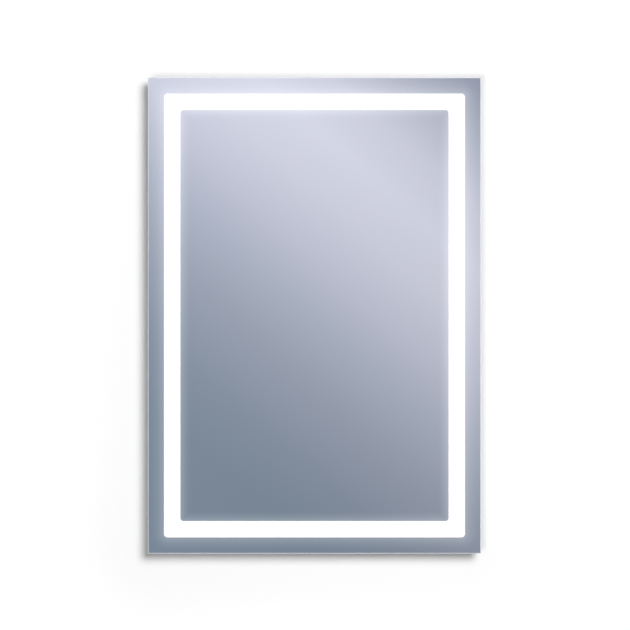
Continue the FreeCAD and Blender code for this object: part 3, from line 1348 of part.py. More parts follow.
for item in doc.Objects:
    if "Invalid" in item.State or "Error" in item.State:
        raise RuntimeError(f"{item.Label} failed: {item.State}")
os.makedirs("parts", exist_ok=True)
for piece in pieces:
    if piece.Shape.isNull() or not piece.Shape.isValid():
        raise RuntimeError(f"{piece.Label} has no valid shape")
for piece in pieces:
    piece.Shape.exportStep(f"parts/{piece.Label}.step")
print(len(pieces), "pieces")
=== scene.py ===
import math

import bmesh
import bpy
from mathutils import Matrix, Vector


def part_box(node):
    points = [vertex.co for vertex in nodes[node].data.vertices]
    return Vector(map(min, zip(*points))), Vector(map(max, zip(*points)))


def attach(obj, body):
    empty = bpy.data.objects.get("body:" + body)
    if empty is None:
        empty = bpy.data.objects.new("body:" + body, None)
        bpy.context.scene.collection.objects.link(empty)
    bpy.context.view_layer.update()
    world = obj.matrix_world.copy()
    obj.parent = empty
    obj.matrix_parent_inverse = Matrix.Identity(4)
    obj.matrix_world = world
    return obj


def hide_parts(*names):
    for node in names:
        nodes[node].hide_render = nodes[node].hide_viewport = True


# Looks of the lighted mirror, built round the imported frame.
# Metres: X to the right, Z up, Y into the wall.

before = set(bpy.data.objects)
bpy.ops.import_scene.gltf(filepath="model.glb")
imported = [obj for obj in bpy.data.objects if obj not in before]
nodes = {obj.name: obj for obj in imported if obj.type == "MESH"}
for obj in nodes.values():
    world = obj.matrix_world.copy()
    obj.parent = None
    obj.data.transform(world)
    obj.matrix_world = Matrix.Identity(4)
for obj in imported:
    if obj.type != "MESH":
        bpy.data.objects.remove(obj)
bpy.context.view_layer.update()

GLASS_LOW, GLASS_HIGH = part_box("mirror_glass")
COAT_LOW, COAT_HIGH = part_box("silver_coat")
BAND_LOW, BAND_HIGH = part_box("light_band")
PANE_X = (GLASS_LOW.x + GLASS_HIGH.x) / 2
PANE_Z = (GLASS_LOW.z + GLASS_HIGH.z) / 2
FRONT_Y = GLASS_LOW.y
HALF_X = (GLASS_HIGH.x - GLASS_LOW.x) / 2
HALF_Z = (GLASS_HIGH.z - GLASS_LOW.z) / 2
ARRIS = 0.0015
BAND_X = (BAND_HIGH.x - BAND_LOW.x) / 2
BAND_Z = (BAND_HIGH.z - BAND_LOW.z) / 2
BAND_WIDTH = 0.0345
BAND_OUTER_ROUND = 0.008
BAND_INNER_ROUND = 0.0065


# --- shader helpers ---------------------------------------------------------------------------

def srgb(red, green, blue):
    """An 8-bit display colour as linear values."""
    def linear(value):
        value /= 255
        return value / 12.92 if value <= 0.04045 else ((value + 0.055) / 1.055) ** 2.4
    return (linear(red), linear(green), linear(blue))


class Tree:
    """Adds nodes to a node tree and links them."""

    def __init__(self, tree):
        self.tree = tree

    def add(self, kind, inputs=None, **settings):
        made = self.tree.nodes.new(kind)
        for name, value in settings.items():
            setattr(made, name, value)
        for key, value in (inputs or {}).items():
            self.give(made.inputs[key], value)
        return made

    def give(self, socket, value):
        """Link a socket, or set it: numbers, and colours or vectors as tuples."""
        if isinstance(value, bpy.types.NodeSocket):
            self.tree.links.new(value, socket)
        elif isinstance(value, bpy.types.Node):
            self.tree.links.new(value.outputs[0], socket)
        elif socket.type == "RGBA":
            socket.default_value = (*value, 1) if len(value) == 3 else value
        else:
            socket.default_value = value

    def math(self, operation, first, second=0.0, third=0.0, clamp=False):
        made = self.add("ShaderNodeMath", operation=operation, use_clamp=clamp)
        for socket, value in zip(made.inputs, (first, second, third)):
            self.give(socket, value)
        return made.outputs[0]

    def ramp(self, factor, stops):
        made = self.add("ShaderNodeValToRGB", {"Fac": factor})
        elements = made.color_ramp.elements
        while len(elements) < len(stops):
            elements.new(0.5)
        for element, (place, colour) in zip(elements, stops):
            element.position = place
            element.color = (*colour, 1) if len(colour) == 3 else colour
        return made.outputs[0]


def new_material(name):
    """An empty node material and its tree."""
    material = bpy.data.materials.new(name)
    material.use_nodes = True
    material.node_tree.nodes.clear()
    return material, Tree(material.node_tree)


def finish_material(tree, shader):
    """Connect the surface."""
    out = tree.add("ShaderNodeOutputMaterial")
    tree.give(out.inputs["Surface"], shader)


def position(tree):
    """The point in the object's own coordinates, which are the frame's."""
    return tree.add("ShaderNodeTexCoord").outputs["Object"]


# --- shared node groups -----------------------------------------------------------------------

def group_tree(name, inputs, outputs):
    """A shader node group with its sockets."""
    group = bpy.data.node_groups.new(name, "ShaderNodeTree")
    for label, kind, default in inputs:
        socket = group.interface.new_socket(label, in_out="INPUT", socket_type=kind)
        if default is not None:
            socket.default_value = default
    for label, kind in outputs:
        group.interface.new_socket(label, in_out="OUTPUT", socket_type=kind)
    tree = Tree(group)
    return group, tree, tree.add("NodeGroupInput"), tree.add("NodeGroupOutput")


FLOAT = "NodeSocketFloat"
VECTOR = "NodeSocketVector"


def make_grain_group():
    """Stretched noise for brushed, moulded or rolled surfaces, as a value and a normal."""
    group, tree, given, out = group_tree(
        "surface_grain",
        [("Stretch", VECTOR, (1, 1, 1)), ("Scale", FLOAT, 400), ("Detail", FLOAT, 3),
         ("Height", FLOAT, 0.0001)],
        [("Value", FLOAT), ("Normal", VECTOR)])
    spot = position(tree)
    scaled = tree.add("ShaderNodeVectorMath", operation="MULTIPLY")
    tree.give(scaled.inputs[0], spot)
    tree.give(scaled.inputs[1], given.outputs["Stretch"])
    noise = tree.add("ShaderNodeTexNoise", {"Vector": scaled.outputs[0],
                                            "Scale": given.outputs["Scale"],
                                            "Detail": given.outputs["Detail"]})
    bump = tree.add("ShaderNodeBump", {"Height": noise.outputs[0],
                                       "Distance": given.outputs["Height"], "Strength": 1.0})
    tree.give(out.inputs["Value"], noise.outputs[0])
    tree.give(out.inputs["Normal"], bump)
    return group


GRAIN = make_grain_group()


def grain(tree, stretch=(1, 1, 1), scale=400.0, detail=3.0, height=0.0001):
    """The shared grain in a material."""
    made = tree.add("ShaderNodeGroup", node_tree=GRAIN)
    made.inputs["Stretch"].default_value = stretch
    made.inputs["Scale"].default_value = scale
    made.inputs["Detail"].default_value = detail
    made.inputs["Height"].default_value = height
    return made.outputs["Value"], made.outputs["Normal"]


def grained(name, dark, light, rough=(0.4, 0.55), metallic=0.0, stretch=(1, 1, 1), scale=400.0,
            detail=3.0, height=0.00005, **extra):
    """A material whose colour and roughness vary with a grain."""
    material, tree = new_material(name)
    value, normal = grain(tree, stretch, scale, detail, height)
    colour = tree.ramp(value, [(0.3, dark), (0.7, light)])
    low, high = rough
    roughness = tree.math("MULTIPLY_ADD", value, high - low, low)
    shader = tree.add("ShaderNodeBsdfPrincipled", {
        "Base Color": colour, "Roughness": roughness, "Metallic": metallic, "Normal": normal})
    for key, given in extra.items():
        tree.give(shader.inputs[key.replace("_", " ")], given)
    finish_material(tree, shader)
    return material


def spangled(name, dark, light, cell=90.0, rough=(0.32, 0.5)):
    """Galvanised sheet: frosted patches of zinc, large over small, with ragged borders."""
    material, tree = new_material(name)
    wander = tree.add("ShaderNodeTexNoise", {"Vector": position(tree), "Scale": cell * 3,
                                             "Detail": 3.0})
    ragged = tree.add("ShaderNodeVectorMath", operation="MULTIPLY_ADD")
    tree.give(ragged.inputs[0], wander.outputs["Color"])
    tree.give(ragged.inputs[1], (0.35 / cell,) * 3)
    tree.give(ragged.inputs[2], position(tree))
    shades = []
    for scale in (cell, cell * 2.6):
        cells = tree.add("ShaderNodeTexVoronoi", {"Vector": ragged.outputs[0], "Scale": scale})
        shades.append(tree.add("ShaderNodeSeparateColor", {"Color": cells.outputs["Color"]}))
    value, normal = grain(tree, (0.4, 1, 1), 900.0, 4.0, 0.00002)
    patches = tree.math("MULTIPLY_ADD", shades[0].outputs[0], 0.45,
                        tree.math("MULTIPLY", shades[1].outputs[0], 0.25))
    mixed = tree.math("MULTIPLY_ADD", value, 0.3, patches)
    colour = tree.ramp(mixed, [(0.1, dark), (0.9, light)])
    low, high = rough
    roughness = tree.math("MULTIPLY_ADD", shades[0].outputs[1], high - low, low)
    shader = tree.add("ShaderNodeBsdfPrincipled", {
        "Base Color": colour, "Roughness": roughness, "Metallic": 0.85, "Normal": normal})
    finish_material(tree, shader)
    return material


# --- the pane's materials ---------------------------------------------------------------------

def make_band_distance_group():
    """How far a point of the pane lies from the lit band, along the pane, in metres."""
    group, tree, given, out = group_tree("band_distance", [], [("Outside", FLOAT),
                                                               ("Inside", FLOAT)])
    parts = tree.add("ShaderNodeSeparateXYZ", {"Vector": position(tree)})
    across = tree.math("ABSOLUTE", tree.math("SUBTRACT", parts.outputs["X"], PANE_X))
    up = tree.math("ABSOLUTE", tree.math("SUBTRACT", parts.outputs["Z"], PANE_Z))

    def signed(half_x, half_z, radius):
        past_x = tree.math("SUBTRACT", across, half_x - radius)
        past_z = tree.math("SUBTRACT", up, half_z - radius)
        over_x = tree.math("MAXIMUM", past_x, 0.0)
        over_z = tree.math("MAXIMUM", past_z, 0.0)
        corner = tree.math("SQRT", tree.math("ADD", tree.math("MULTIPLY", over_x, over_x),
                                             tree.math("MULTIPLY", over_z, over_z)))
        inside = tree.math("MINIMUM", tree.math("MAXIMUM", past_x, past_z), 0.0)
        return tree.math("SUBTRACT", tree.math("ADD", corner, inside), radius)

    tree.give(out.inputs["Outside"], signed(BAND_X, BAND_Z, BAND_OUTER_ROUND))
    inner = signed(BAND_X - BAND_WIDTH, BAND_Z - BAND_WIDTH, BAND_INNER_ROUND)
    tree.give(out.inputs["Inside"], tree.math("MULTIPLY", inner, -1.0))
    return group


BAND_DISTANCE = make_band_distance_group()
SILVER_TINT = (0.90, 0.905, 0.91)
PAINTED_GLOW_OUTSIDE = 0.034  # reach of the glow painted on the silvered glass round the band, either side of it
PAINTED_GLOW_INSIDE = 0.024
PAINTED_GLOW_STRENGTH = 0.12
BAND_STRENGTH = 0.57
BAND_MOTTLE = 0.04
EDGE_ROUND = 0.0006  # corner radius of the pane's face and coat


def make_silver():
    """Silvered glass, with a glow painted round the lit band as emission, standing in for the
    band's light scattered in the glass.
    """
    material, tree = new_material("silver_mirror")
    distance = tree.add("ShaderNodeGroup", node_tree=BAND_DISTANCE)

    def painted_spill(gap, reach):
        share = tree.math("DIVIDE", gap, reach)
        left = tree.math("SUBTRACT", 1.0, share, clamp=True)
        near = tree.math("GREATER_THAN", gap, -0.0005)
        return tree.math("MULTIPLY", tree.math("MULTIPLY", left, left), near)

    # Painted glow: the silver itself gives off light that fades with distance from the lit band.
    glow = tree.math("ADD", painted_spill(distance.outputs["Outside"], PAINTED_GLOW_OUTSIDE),
                     painted_spill(distance.outputs["Inside"], PAINTED_GLOW_INSIDE))
    value, _ = grain(tree, scale=6.0, detail=2.0, height=0.0)
    tint = tree.ramp(value, [(0.3, (0.897, 0.903, 0.909)), (0.7, (0.903, 0.907, 0.911))])
    shader = tree.add("ShaderNodeBsdfPrincipled", {
        "Base Color": tint, "Metallic": 1.0, "Roughness": 0.012,
        "Emission Color": (0.97, 0.985, 1.0),
        "Emission Strength": tree.math("MULTIPLY", glow, PAINTED_GLOW_STRENGTH)})
    finish_material(tree, shader)
    return material


def make_lit_band():
    """The frosted band with the light of the LEDs behind it."""
    material, tree = new_material("lit_band")
    value, normal = grain(tree, scale=2500.0, detail=2.0, height=0.00001)
    strength = tree.math("MULTIPLY_ADD", value, BAND_MOTTLE, BAND_STRENGTH)
    shader = tree.add("ShaderNodeBsdfPrincipled", {
        "Base Color": (0.50, 0.505, 0.51), "Roughness": 0.5, "Normal": normal,
        "Specular IOR Level": 0.2,
        "Emission Color": (1.0, 1.0, 0.995), "Emission Strength": strength})
    finish_material(tree, shader)
    return material


def make_glass_edge():
    """The ground arris, with a highlight painted on it as emission, and the polished edge of the
    pane.
    """
    material, tree = new_material("glass_edge")
    parts = tree.add("ShaderNodeSeparateXYZ", {"Vector": position(tree)})
    depth = tree.add("ShaderNodeMapRange", {
        "Value": parts.outputs["Y"], "From Min": FRONT_Y, "From Max": GLASS_HIGH.y})
    colour = tree.ramp(depth.outputs[0], [
        (0.0, (0.60, 0.62, 0.64)), (0.27, (0.58, 0.61, 0.62)), (0.34, (0.46, 0.66, 0.60)),
        (0.6, (0.30, 0.52, 0.46)), (0.9, (0.50, 0.69, 0.63)), (1.0, (0.62, 0.77, 0.72))])
    # Emission paints the arris as a bright line: partly the LEDs' light that runs along inside the
    # glass and leaves it at the arris, partly a painted highlight.
    led = tree.ramp(depth.outputs[0], [(0.27, (0.39, 0.40, 0.43)), (0.36, (0.008, 0.014, 0.012))])
    value, normal = grain(tree, (1, 6, 1), 900.0, 3.0, 0.00002)
    shader = tree.add("ShaderNodeBsdfPrincipled", {
        "Base Color": colour, "Roughness": tree.math("MULTIPLY_ADD", value, 0.15, 0.10),
        "IOR": 1.52, "Normal": normal, "Emission Color": led, "Emission Strength": 1.0})
    finish_material(tree, shader)
    return material


SILVER = make_silver()
LIT_BAND = make_lit_band()
GLASS_EDGE = make_glass_edge()
COAT_PAINT = grained("coat_paint", (0.20, 0.22, 0.24), (0.25, 0.27, 0.29), (0.35, 0.45), scale=150)


# --- mesh helpers -----------------------------------------------------------------------------

def in_scene(name, data):
    """A new object, linked to the scene."""
    made = bpy.data.objects.new(name, data)
    bpy.context.scene.collection.objects.link(made)
    return made


def new_piece(name, verts, faces, materials, face_materials=None, replaces=()):
    """A flat-shaded mesh piece that rides on the mirror."""
    mesh = bpy.data.meshes.new(name)
    mesh.from_pydata([tuple(vert) for vert in verts], [], faces)
    for material in materials:
        mesh.materials.append(material)
    if face_materials:
        mesh.polygons.foreach_set("material_index", face_materials)
    mesh.update()
    piece = in_scene(name, mesh)
    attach(piece, "mirror")
    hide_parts(*replaces)
    return piece


def rounded_loop(half_x, half_z, radius, steps=8):
    """Points (x, z) round a rectangle with rounded corners, seen by the viewer, about the pane."""
    points = []
    for number, (sign_x, sign_z) in enumerate(((1, 1), (-1, 1), (-1, -1), (1, -1))):
        for step in range(steps + 1):
            angle = math.pi / 2 * (number + step / steps)
            points.append((PANE_X + sign_x * (half_x - radius) + radius * math.cos(angle),
                           PANE_Z + sign_z * (half_z - radius) + radius * math.sin(angle)))
    return points


def loft(rings, closed_ends=(False, False)):
    """Vertices and faces of a skin over rings of as many points each."""
    count = len(rings[0])
    verts = [point for ring in rings for point in ring]
    faces = []
    for number in range(len(rings) - 1):
        for step in range(count):
            after = (step + 1) % count
            low = number * count
            faces.append((low + step, low + after, low + count + after, low + count + step))
    if closed_ends[0]:
        faces.append(tuple(reversed(range(count))))
    if closed_ends[1]:
        last = (len(rings) - 1) * count
        faces.append(tuple(last + step for step in range(count)))
    return verts, faces


def ring_shell(rings):
    """A closed skin over rings that run round the pane, from the last one back to the first."""
    return loft(rings + rings[:1])


def joined_parts(parts):
    """Several (verts, faces, material index) as one, with the material index of each face."""
    verts, faces, slots = [], [], []
    for part_verts, part_faces, index in parts:
        base = len(verts)
        verts += part_verts
        faces += [tuple(base + number for number in face) for face in part_faces]
        slots += [index] * len(part_faces)
    return verts, faces, slots


def face_outwards(piece):
    """Close the seams and poles of a mesh, and point its normals outwards."""
    work = bmesh.new()
    work.from_mesh(piece.data)
    bmesh.ops.remove_doubles(work, verts=work.verts, dist=1e-7)
    bmesh.ops.recalc_face_normals(work, faces=work.faces)
    work.to_mesh(piece.data)
    work.free()


def at_depth(loop, y):
    return [(x, y, z) for x, z in loop]


# --- the pane ---------------------------------------------------------------------------------

def make_pane():
    """Silvered faces, the lit band, the glass edge and the painted back of the coat."""
    coat_back = COAT_HIGH.y
    outer_band = rounded_loop(BAND_X, BAND_Z, BAND_OUTER_ROUND)
    inner_band = rounded_loop(BAND_X - BAND_WIDTH, BAND_Z - BAND_WIDTH, BAND_INNER_ROUND)
    edge = rounded_loop(HALF_X - ARRIS, HALF_Z - ARRIS, EDGE_ROUND)
    coat_edge = rounded_loop((COAT_HIGH.x - COAT_LOW.x) / 2, (COAT_HIGH.z - COAT_LOW.z) / 2,
                             EDGE_ROUND)

    border = ring_shell([at_depth(outer_band, FRONT_Y), at_depth(edge, FRONT_Y),
                         at_depth(coat_edge, GLASS_HIGH.y), at_depth(coat_edge, coat_back),
                         at_depth(outer_band, coat_back)])
    centre = loft([at_depth(inner_band, FRONT_Y), at_depth(inner_band, coat_back)], (True, True))
    verts, faces, _ = joined_parts([(*border, 0), (*centre, 0)])
    slots = [0 if max(verts[number][1] for number in face) < FRONT_Y + 1e-6 else 1
             for face in faces]
    face_outwards(new_piece("silver_faces", verts, faces, [SILVER, COAT_PAINT],
                            face_materials=slots, replaces=["silver_coat"]))

    verts, faces = ring_shell([
        at_depth(inner_band, FRONT_Y), at_depth(outer_band, FRONT_Y),
        at_depth(outer_band, GLASS_HIGH.y), at_depth(inner_band, GLASS_HIGH.y)])
    face_outwards(new_piece("lit_band", verts, faces, [LIT_BAND], replaces=["light_band"]))

    verts, faces = ring_shell([
        at_depth(edge, FRONT_Y),
        at_depth(rounded_loop(HALF_X - 0.0002, HALF_Z - 0.0002, 0.0010), FRONT_Y + ARRIS - 0.0002),
        at_depth(rounded_loop(HALF_X, HALF_Z, 0.0012), FRONT_Y + ARRIS + 0.0002),
        at_depth(rounded_loop(HALF_X, HALF_Z, 0.0012), GLASS_HIGH.y - 0.0004),
        at_depth(rounded_loop(HALF_X - 0.0004, HALF_Z - 0.0004, 0.0009), GLASS_HIGH.y),
        at_depth(coat_edge, GLASS_HIGH.y)])
    face_outwards(new_piece("glass_edges", verts, faces, [GLASS_EDGE],
                            replaces=["mirror_glass"]))


make_pane()


# --- materials of the box and what it holds ---------------------------------------------------

ALONG_X = (0.02, 1, 1)
ALONG_Z = (1, 1, 0.02)
RAIL_X = grained("anodised_x", (0.62, 0.63, 0.65), (0.72, 0.73, 0.74), (0.3, 0.42), 0.9, ALONG_X,
                 900.0, 4.0, 0.00002)
RAIL_Z = grained("anodised_z", (0.62, 0.63, 0.65), (0.72, 0.73, 0.74), (0.3, 0.42), 0.9, ALONG_Z,
                 900.0, 4.0, 0.00002)
SHEET = spangled("galvanised_sheet", (0.43, 0.45, 0.47), (0.61, 0.63, 0.65), 130.0)
RAIL_STEEL = grained("plated_rail", (0.50, 0.52, 0.55), (0.62, 0.64, 0.67), (0.26, 0.38), 1.0,
                     ALONG_X, 900.0, 4.0, 0.00001)
ZINC = grained("zinc_plated", (0.60, 0.62, 0.66), (0.76, 0.77, 0.80), (0.22, 0.34), 1.0,
               scale=1200.0, height=0.00001)
FOAM = grained("foam_tape", (0.30, 0.30, 0.31), (0.40, 0.40, 0.41), (0.8, 0.95), scale=2500.0,
               height=0.0002)
CHANNEL = grained("channel_aluminium", (0.66, 0.67, 0.68), (0.78, 0.79, 0.80), (0.28, 0.4), 0.95,
                  scale=600.0, height=0.00001)
OPAL = grained("opal_cover", (0.86, 0.87, 0.87), (0.92, 0.92, 0.92), (0.45, 0.6), scale=900.0,
               Emission_Color=(1.0, 0.99, 0.97), Emission_Strength=0.35)
STRIP = grained("led_strip", (0.82, 0.82, 0.78), (0.93, 0.92, 0.88), (0.35, 0.5), scale=700.0,
                Emission_Color=(1.0, 0.98, 0.94), Emission_Strength=0.8)
HEATER = grained("heater_film", (0.70, 0.46, 0.17), (0.82, 0.57, 0.24), (0.3, 0.45), scale=80.0)
DRIVER_SHELL = grained("driver_shell", (0.80, 0.80, 0.79), (0.88, 0.88, 0.87), (0.45, 0.6),
                       scale=1500.0, height=0.00005)
BOARD = grained("circuit_board", (0.03, 0.20, 0.09), (0.06, 0.30, 0.14), (0.3, 0.45), scale=260.0)
FERRITE = grained("ferrite", (0.035, 0.033, 0.032), (0.07, 0.066, 0.062), (0.5, 0.7), scale=900.0)
CAN = grained("capacitor_sleeve", (0.015, 0.02, 0.05), (0.03, 0.04, 0.09), (0.25, 0.4),
              scale=500.0)
BOX_PLASTIC = grained("box_plastic", (0.78, 0.78, 0.76), (0.86, 0.86, 0.84), (0.4, 0.55),
                      scale=1400.0, height=0.00006)
NYLON = grained("clear_nylon", (0.80, 0.80, 0.76), (0.90, 0.90, 0.87), (0.25, 0.4), scale=900.0)
BRASS = grained("brass", (0.62, 0.46, 0.20), (0.76, 0.58, 0.28), (0.25, 0.4), 1.0, scale=900.0)
RUBBER = grained("rubber", (0.018, 0.018, 0.019), (0.040, 0.040, 0.042), (0.6, 0.8), scale=1600.0,
                 height=0.00008)
WHITE_SHEATH = grained("white_sheath", (0.76, 0.76, 0.75), (0.86, 0.86, 0.85), (0.4, 0.55),
                       scale=900.0)
EARTH_SHEATH = grained("earth_sheath", (0.10, 0.34, 0.06), (0.62, 0.60, 0.05), (0.35, 0.5),
                       stretch=(0.25, 1, 1), scale=260.0, detail=0.0)
SWITCH_BLACK = grained("switch_black", (0.016, 0.016, 0.017), (0.034, 0.034, 0.036), (0.32, 0.45),
                       scale=1800.0, height=0.00004)
ROCKER_BLACK = grained("rocker_black", (0.014, 0.014, 0.015), (0.028, 0.028, 0.030), (0.16, 0.26),
                       scale=1200.0, height=0.00001)

NODE_MATERIALS = {
    "frame_rail_top": RAIL_X, "frame_rail_bottom": RAIL_X, "frame_rail_left": RAIL_Z,
    "frame_rail_right": RAIL_Z, "back_panel": SHEET, "wall_rail": RAIL_STEEL,
    "hanger_rail": RAIL_STEEL, "glass_tape": FOAM, "demister_pad": HEATER,
    "driver_base": DRIVER_SHELL, "driver_cover": DRIVER_SHELL, "driver_board": BOARD,
    "driver_transformer": FERRITE, "driver_capacitors": CAN, "terminal_box": BOX_PLASTIC,
    "terminal_box_lid": BOX_PLASTIC, "terminal_block": NYLON, "terminal_block_screws": BRASS,
    "cable_clamp": BOX_PLASTIC, "cable_grommet": RUBBER, "wall_bumpers": RUBBER,
    "mains_lead": WHITE_SHEATH, "led_lead": WHITE_SHEATH, "led_link_leads": WHITE_SHEATH,
    "demister_lead": WHITE_SHEATH, "switch_lead": WHITE_SHEATH, "earth_lead": EARTH_SHEATH,
    "lead_clips": NYLON, "switch_body": SWITCH_BLACK, "switch_rocker": ROCKER_BLACK,
    "switch_plug": BOX_PLASTIC, "switch_blades": BRASS,
}
for key, kind in (("led_channel", CHANNEL), ("led_cover", OPAL), ("led_strip", STRIP)):
    for side in ("top", "right", "bottom", "left"):
        NODE_MATERIALS[f"{key}_{side}"] = kind
for name, node in nodes.items():
    finish = NODE_MATERIALS.get(name, ZINC)
    for number in range(max(1, len(node.data.materials))):
        if number < len(node.data.materials):
            node.data.materials[number] = finish
        else:
            node.data.materials.append(finish)


# --- pieces that stand for CAD nodes ------------------------------------------------------------

def shade_smooth(mesh, angle=35):
    """Smooth shading, with a crease where faces meet at more than the angle."""
    mesh.polygons.foreach_set("use_smooth", [True] * len(mesh.polygons))
    mesh.set_sharp_from_angle(angle=math.radians(angle))


def softened(name, new_name, width, shortest, body="mirror"):
    """A copy of a CAD node with its longer edges rounded."""
    work = bmesh.new()
    work.from_mesh(nodes[name].data)
    bmesh.ops.remove_doubles(work, verts=work.verts, dist=1e-6)
    bmesh.ops.dissolve_limit(work, angle_limit=math.radians(0.5), verts=work.verts,
                             edges=work.edges)
    edges = [edge for edge in work.edges if len(edge.link_faces) == 2
             and edge.calc_face_angle(0) > math.radians(30) and edge.calc_length() > shortest]
    bmesh.ops.bevel(work, geom=edges, offset=width, segments=2, profile=0.5, affect="EDGES",
                    clamp_overlap=True)
    bmesh.ops.triangulate(work, faces=[face for face in work.faces if len(face.verts) > 4])
    mesh = bpy.data.meshes.new(new_name)
    work.to_mesh(mesh)
    work.free()
    mesh.materials.clear()
    mesh.materials.append(NODE_MATERIALS[name])
    shade_smooth(mesh)
    piece = in_scene(new_name, mesh)
    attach(piece, body)
    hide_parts(name)


def loose_parts(name):
    """The boxes of a CAD node's separate solids, as (low, high)."""
    work = bmesh.new()
    work.from_mesh(nodes[name].data)
    bmesh.ops.remove_doubles(work, verts=work.verts, dist=1e-6)
    left = set(work.verts)
    boxes = []
    while left:
        queue = [left.pop()]
        found = []
        while queue:
            vert = queue.pop()
            found.append(vert.co.copy())
            for edge in vert.link_edges:
                other = edge.other_vert(vert)
                if other in left:
                    left.remove(other)
                    queue.append(other)
        boxes.append((Vector(min(co[axis] for co in found) for axis in range(3)),
                      Vector(max(co[axis] for co in found) for axis in range(3))))
    work.free()
    return sorted(boxes, key=lambda box: (round(box[0].z, 5), round(box[0].x, 5)))


TIP = 0.0  # radius where a turned skin closes on its axis


def turned(profile, centre, steps=48):
    """A skin turned about a line along Y: profile points are (radius, y)."""
    rings = []
    for radius, y in profile:
        ring = []
        for step in range(steps):
            angle = 2 * math.pi * step / steps
            ring.append((centre[0] + radius * math.cos(angle), y,
                         centre[1] + radius * math.sin(angle)))
        rings.append(ring)
    return loft(rings)


def turned_piece(name, profiles, material, node, steps=48):
    """Turned pieces, each (profile, centre), in one mesh that stands for a node."""
    parts = [(*turned(profile, centre, steps), 0) for profile, centre in profiles]
    verts, faces, _ = joined_parts(parts)
    piece = new_piece(name, verts, faces, [material], replaces=[node])
    face_outwards(piece)
    shade_smooth(piece.data, 50)


def make_grommet():
    """Soft-lipped rubber grommet of the cable entry."""
    low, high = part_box("cable_grommet")
    centre = ((low.x + high.x) / 2, (low.z + high.z) / 2)
    seat, back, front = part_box("back_panel")[1].y, high.y, low.y
    inner_seat = front + (back - seat)
    flange, neck, bore = 0.010, 0.007, 0.004
    profile = [
        (bore, front + 0.0005), (bore + 0.0003, front + 0.0001), (bore + 0.0008, front),
        (flange - 0.0006, front), (flange - 0.0001, front + 0.0003), (flange, front + 0.0008),
        (flange - 0.0002, inner_seat - 0.0001), (flange - 0.0006, inner_seat), (neck, inner_seat),
        (neck, seat), (flange - 0.0004, seat), (flange, seat + 0.0003), (flange, seat + 0.0006),
        (flange - 0.0003, back - 0.0004), (flange - 0.0010, back - 0.0001),
        (flange - 0.0020, back), (neck - 0.0010, back - 0.0001), (bore + 0.0014, back - 0.0005),
        (bore + 0.0005, back - 0.0007), (bore, back - 0.0012)]
    profile.append(profile[0])
    turned_piece("grommet", [(profile, centre)], RUBBER, "cable_grommet", 64)


def make_bumpers():
    """Moulded rubber buffers with a dished foot."""
    profiles = []
    for low, high in loose_parts("wall_bumpers"):
        radius = (high.x - low.x) / 2
        seat, foot = low.y, high.y
        profile = [(TIP, seat), (radius, seat), (radius, foot - 0.0012),
                   (radius - 0.0002, foot - 0.0006), (radius - 0.0006, foot - 0.0002),
                   (radius - 0.0012, foot), (radius * 0.62, foot), (radius * 0.56, foot - 0.0002),
                   (radius * 0.50, foot - 0.0007), (radius * 0.2, foot - 0.0011),
                   (TIP, foot - 0.0012)]
        profiles.append((profile, ((low.x + high.x) / 2, (low.z + high.z) / 2)))
    turned_piece("bumpers", profiles, RUBBER, "wall_bumpers")


def master_mesh(name, build):
    """A mesh object that Geometry Nodes copies, made by a builder that fills a bmesh."""
    work = bmesh.new()
    build(work)
    bmesh.ops.remove_doubles(work, verts=work.verts, dist=1e-7)
    bmesh.ops.recalc_face_normals(work, faces=work.faces)
    mesh = bpy.data.meshes.new(name)
    work.to_mesh(mesh)
    work.free()
    shade_smooth(mesh, 40)
    return in_scene(name, mesh)


def turn_into(work, profile, steps):
    """Add a turned skin to a bmesh and return its last ring."""
    verts, faces = turned(profile, (0, 0), steps)
    made = [work.verts.new(vert) for vert in verts]
    for face in faces:
        work.faces.new([made[number] for number in face])
    return made[-steps:]


def build_screw(radius, high, shank, depth):
    """A pan head with a cross recess, on its shank; the head points along +Y."""
    def build(work):
        flat = radius * 0.62
        profile = [(TIP, -depth), (shank * 0.6, -depth), (shank, -depth + shank * 0.6),
                   (shank, 0), (radius * 0.97, 0), (radius, high * 0.12), (radius, high * 0.36),
                   (radius * 0.95, high * 0.62), (radius * 0.86, high * 0.82),
                   (radius * 0.74, high * 0.95), (flat, high)]
        rim = turn_into(work, profile, 24)
        arm, half = radius * 0.50, radius * 0.125
        cross = [(half, arm), (half, half), (arm, half), (arm, -half), (half, -half),
                 (half, -arm), (-half, -arm), (-half, -half), (-arm, -half), (-arm, half),
                 (-half, half), (-half, arm)]
        top = [work.verts.new((x, high, z)) for x, z in cross]
        floor = [work.verts.new((x * 0.72, high * 0.35, z * 0.72)) for x, z in cross]
        edges = [work.edges.get((rim[step], rim[(step + 1) % 24])) for step in range(24)]
        for step in range(12):
            after = (step + 1) % 12
            edges.append(work.edges.new((top[step], top[after])))
            work.faces.new((top[step], floor[step], floor[after], top[after]))
        work.faces.new(floor)
        bmesh.ops.triangle_fill(work, edges=edges, use_beauty=True)
    return build


def build_tapping(radius, high, shank, depth):
    """The same pan head, on a threaded shank with a blunt point; the head points along -Y."""
    def build(work):
        build_screw(radius, high, shank * 0.8, 0.0004)(work)
        bmesh.ops.scale(work, vec=(1, -1, 1), verts=work.verts)
        pitch = 0.0006
        turns = int((depth - 0.0008) / pitch)
        profile = [(TIP, 0.0)]
        for turn in range(turns):
            start = turn * pitch
            profile += [(shank * 0.8, start), (shank * 0.8, start + pitch * 0.45),
                        (shank, start + pitch * 0.70), (shank, start + pitch * 0.80)]
        profile += [(shank * 0.8, turns * pitch), (shank * 0.5, depth - 0.0001), (TIP, depth)]
        turn_into(work, profile, 20)
    return build


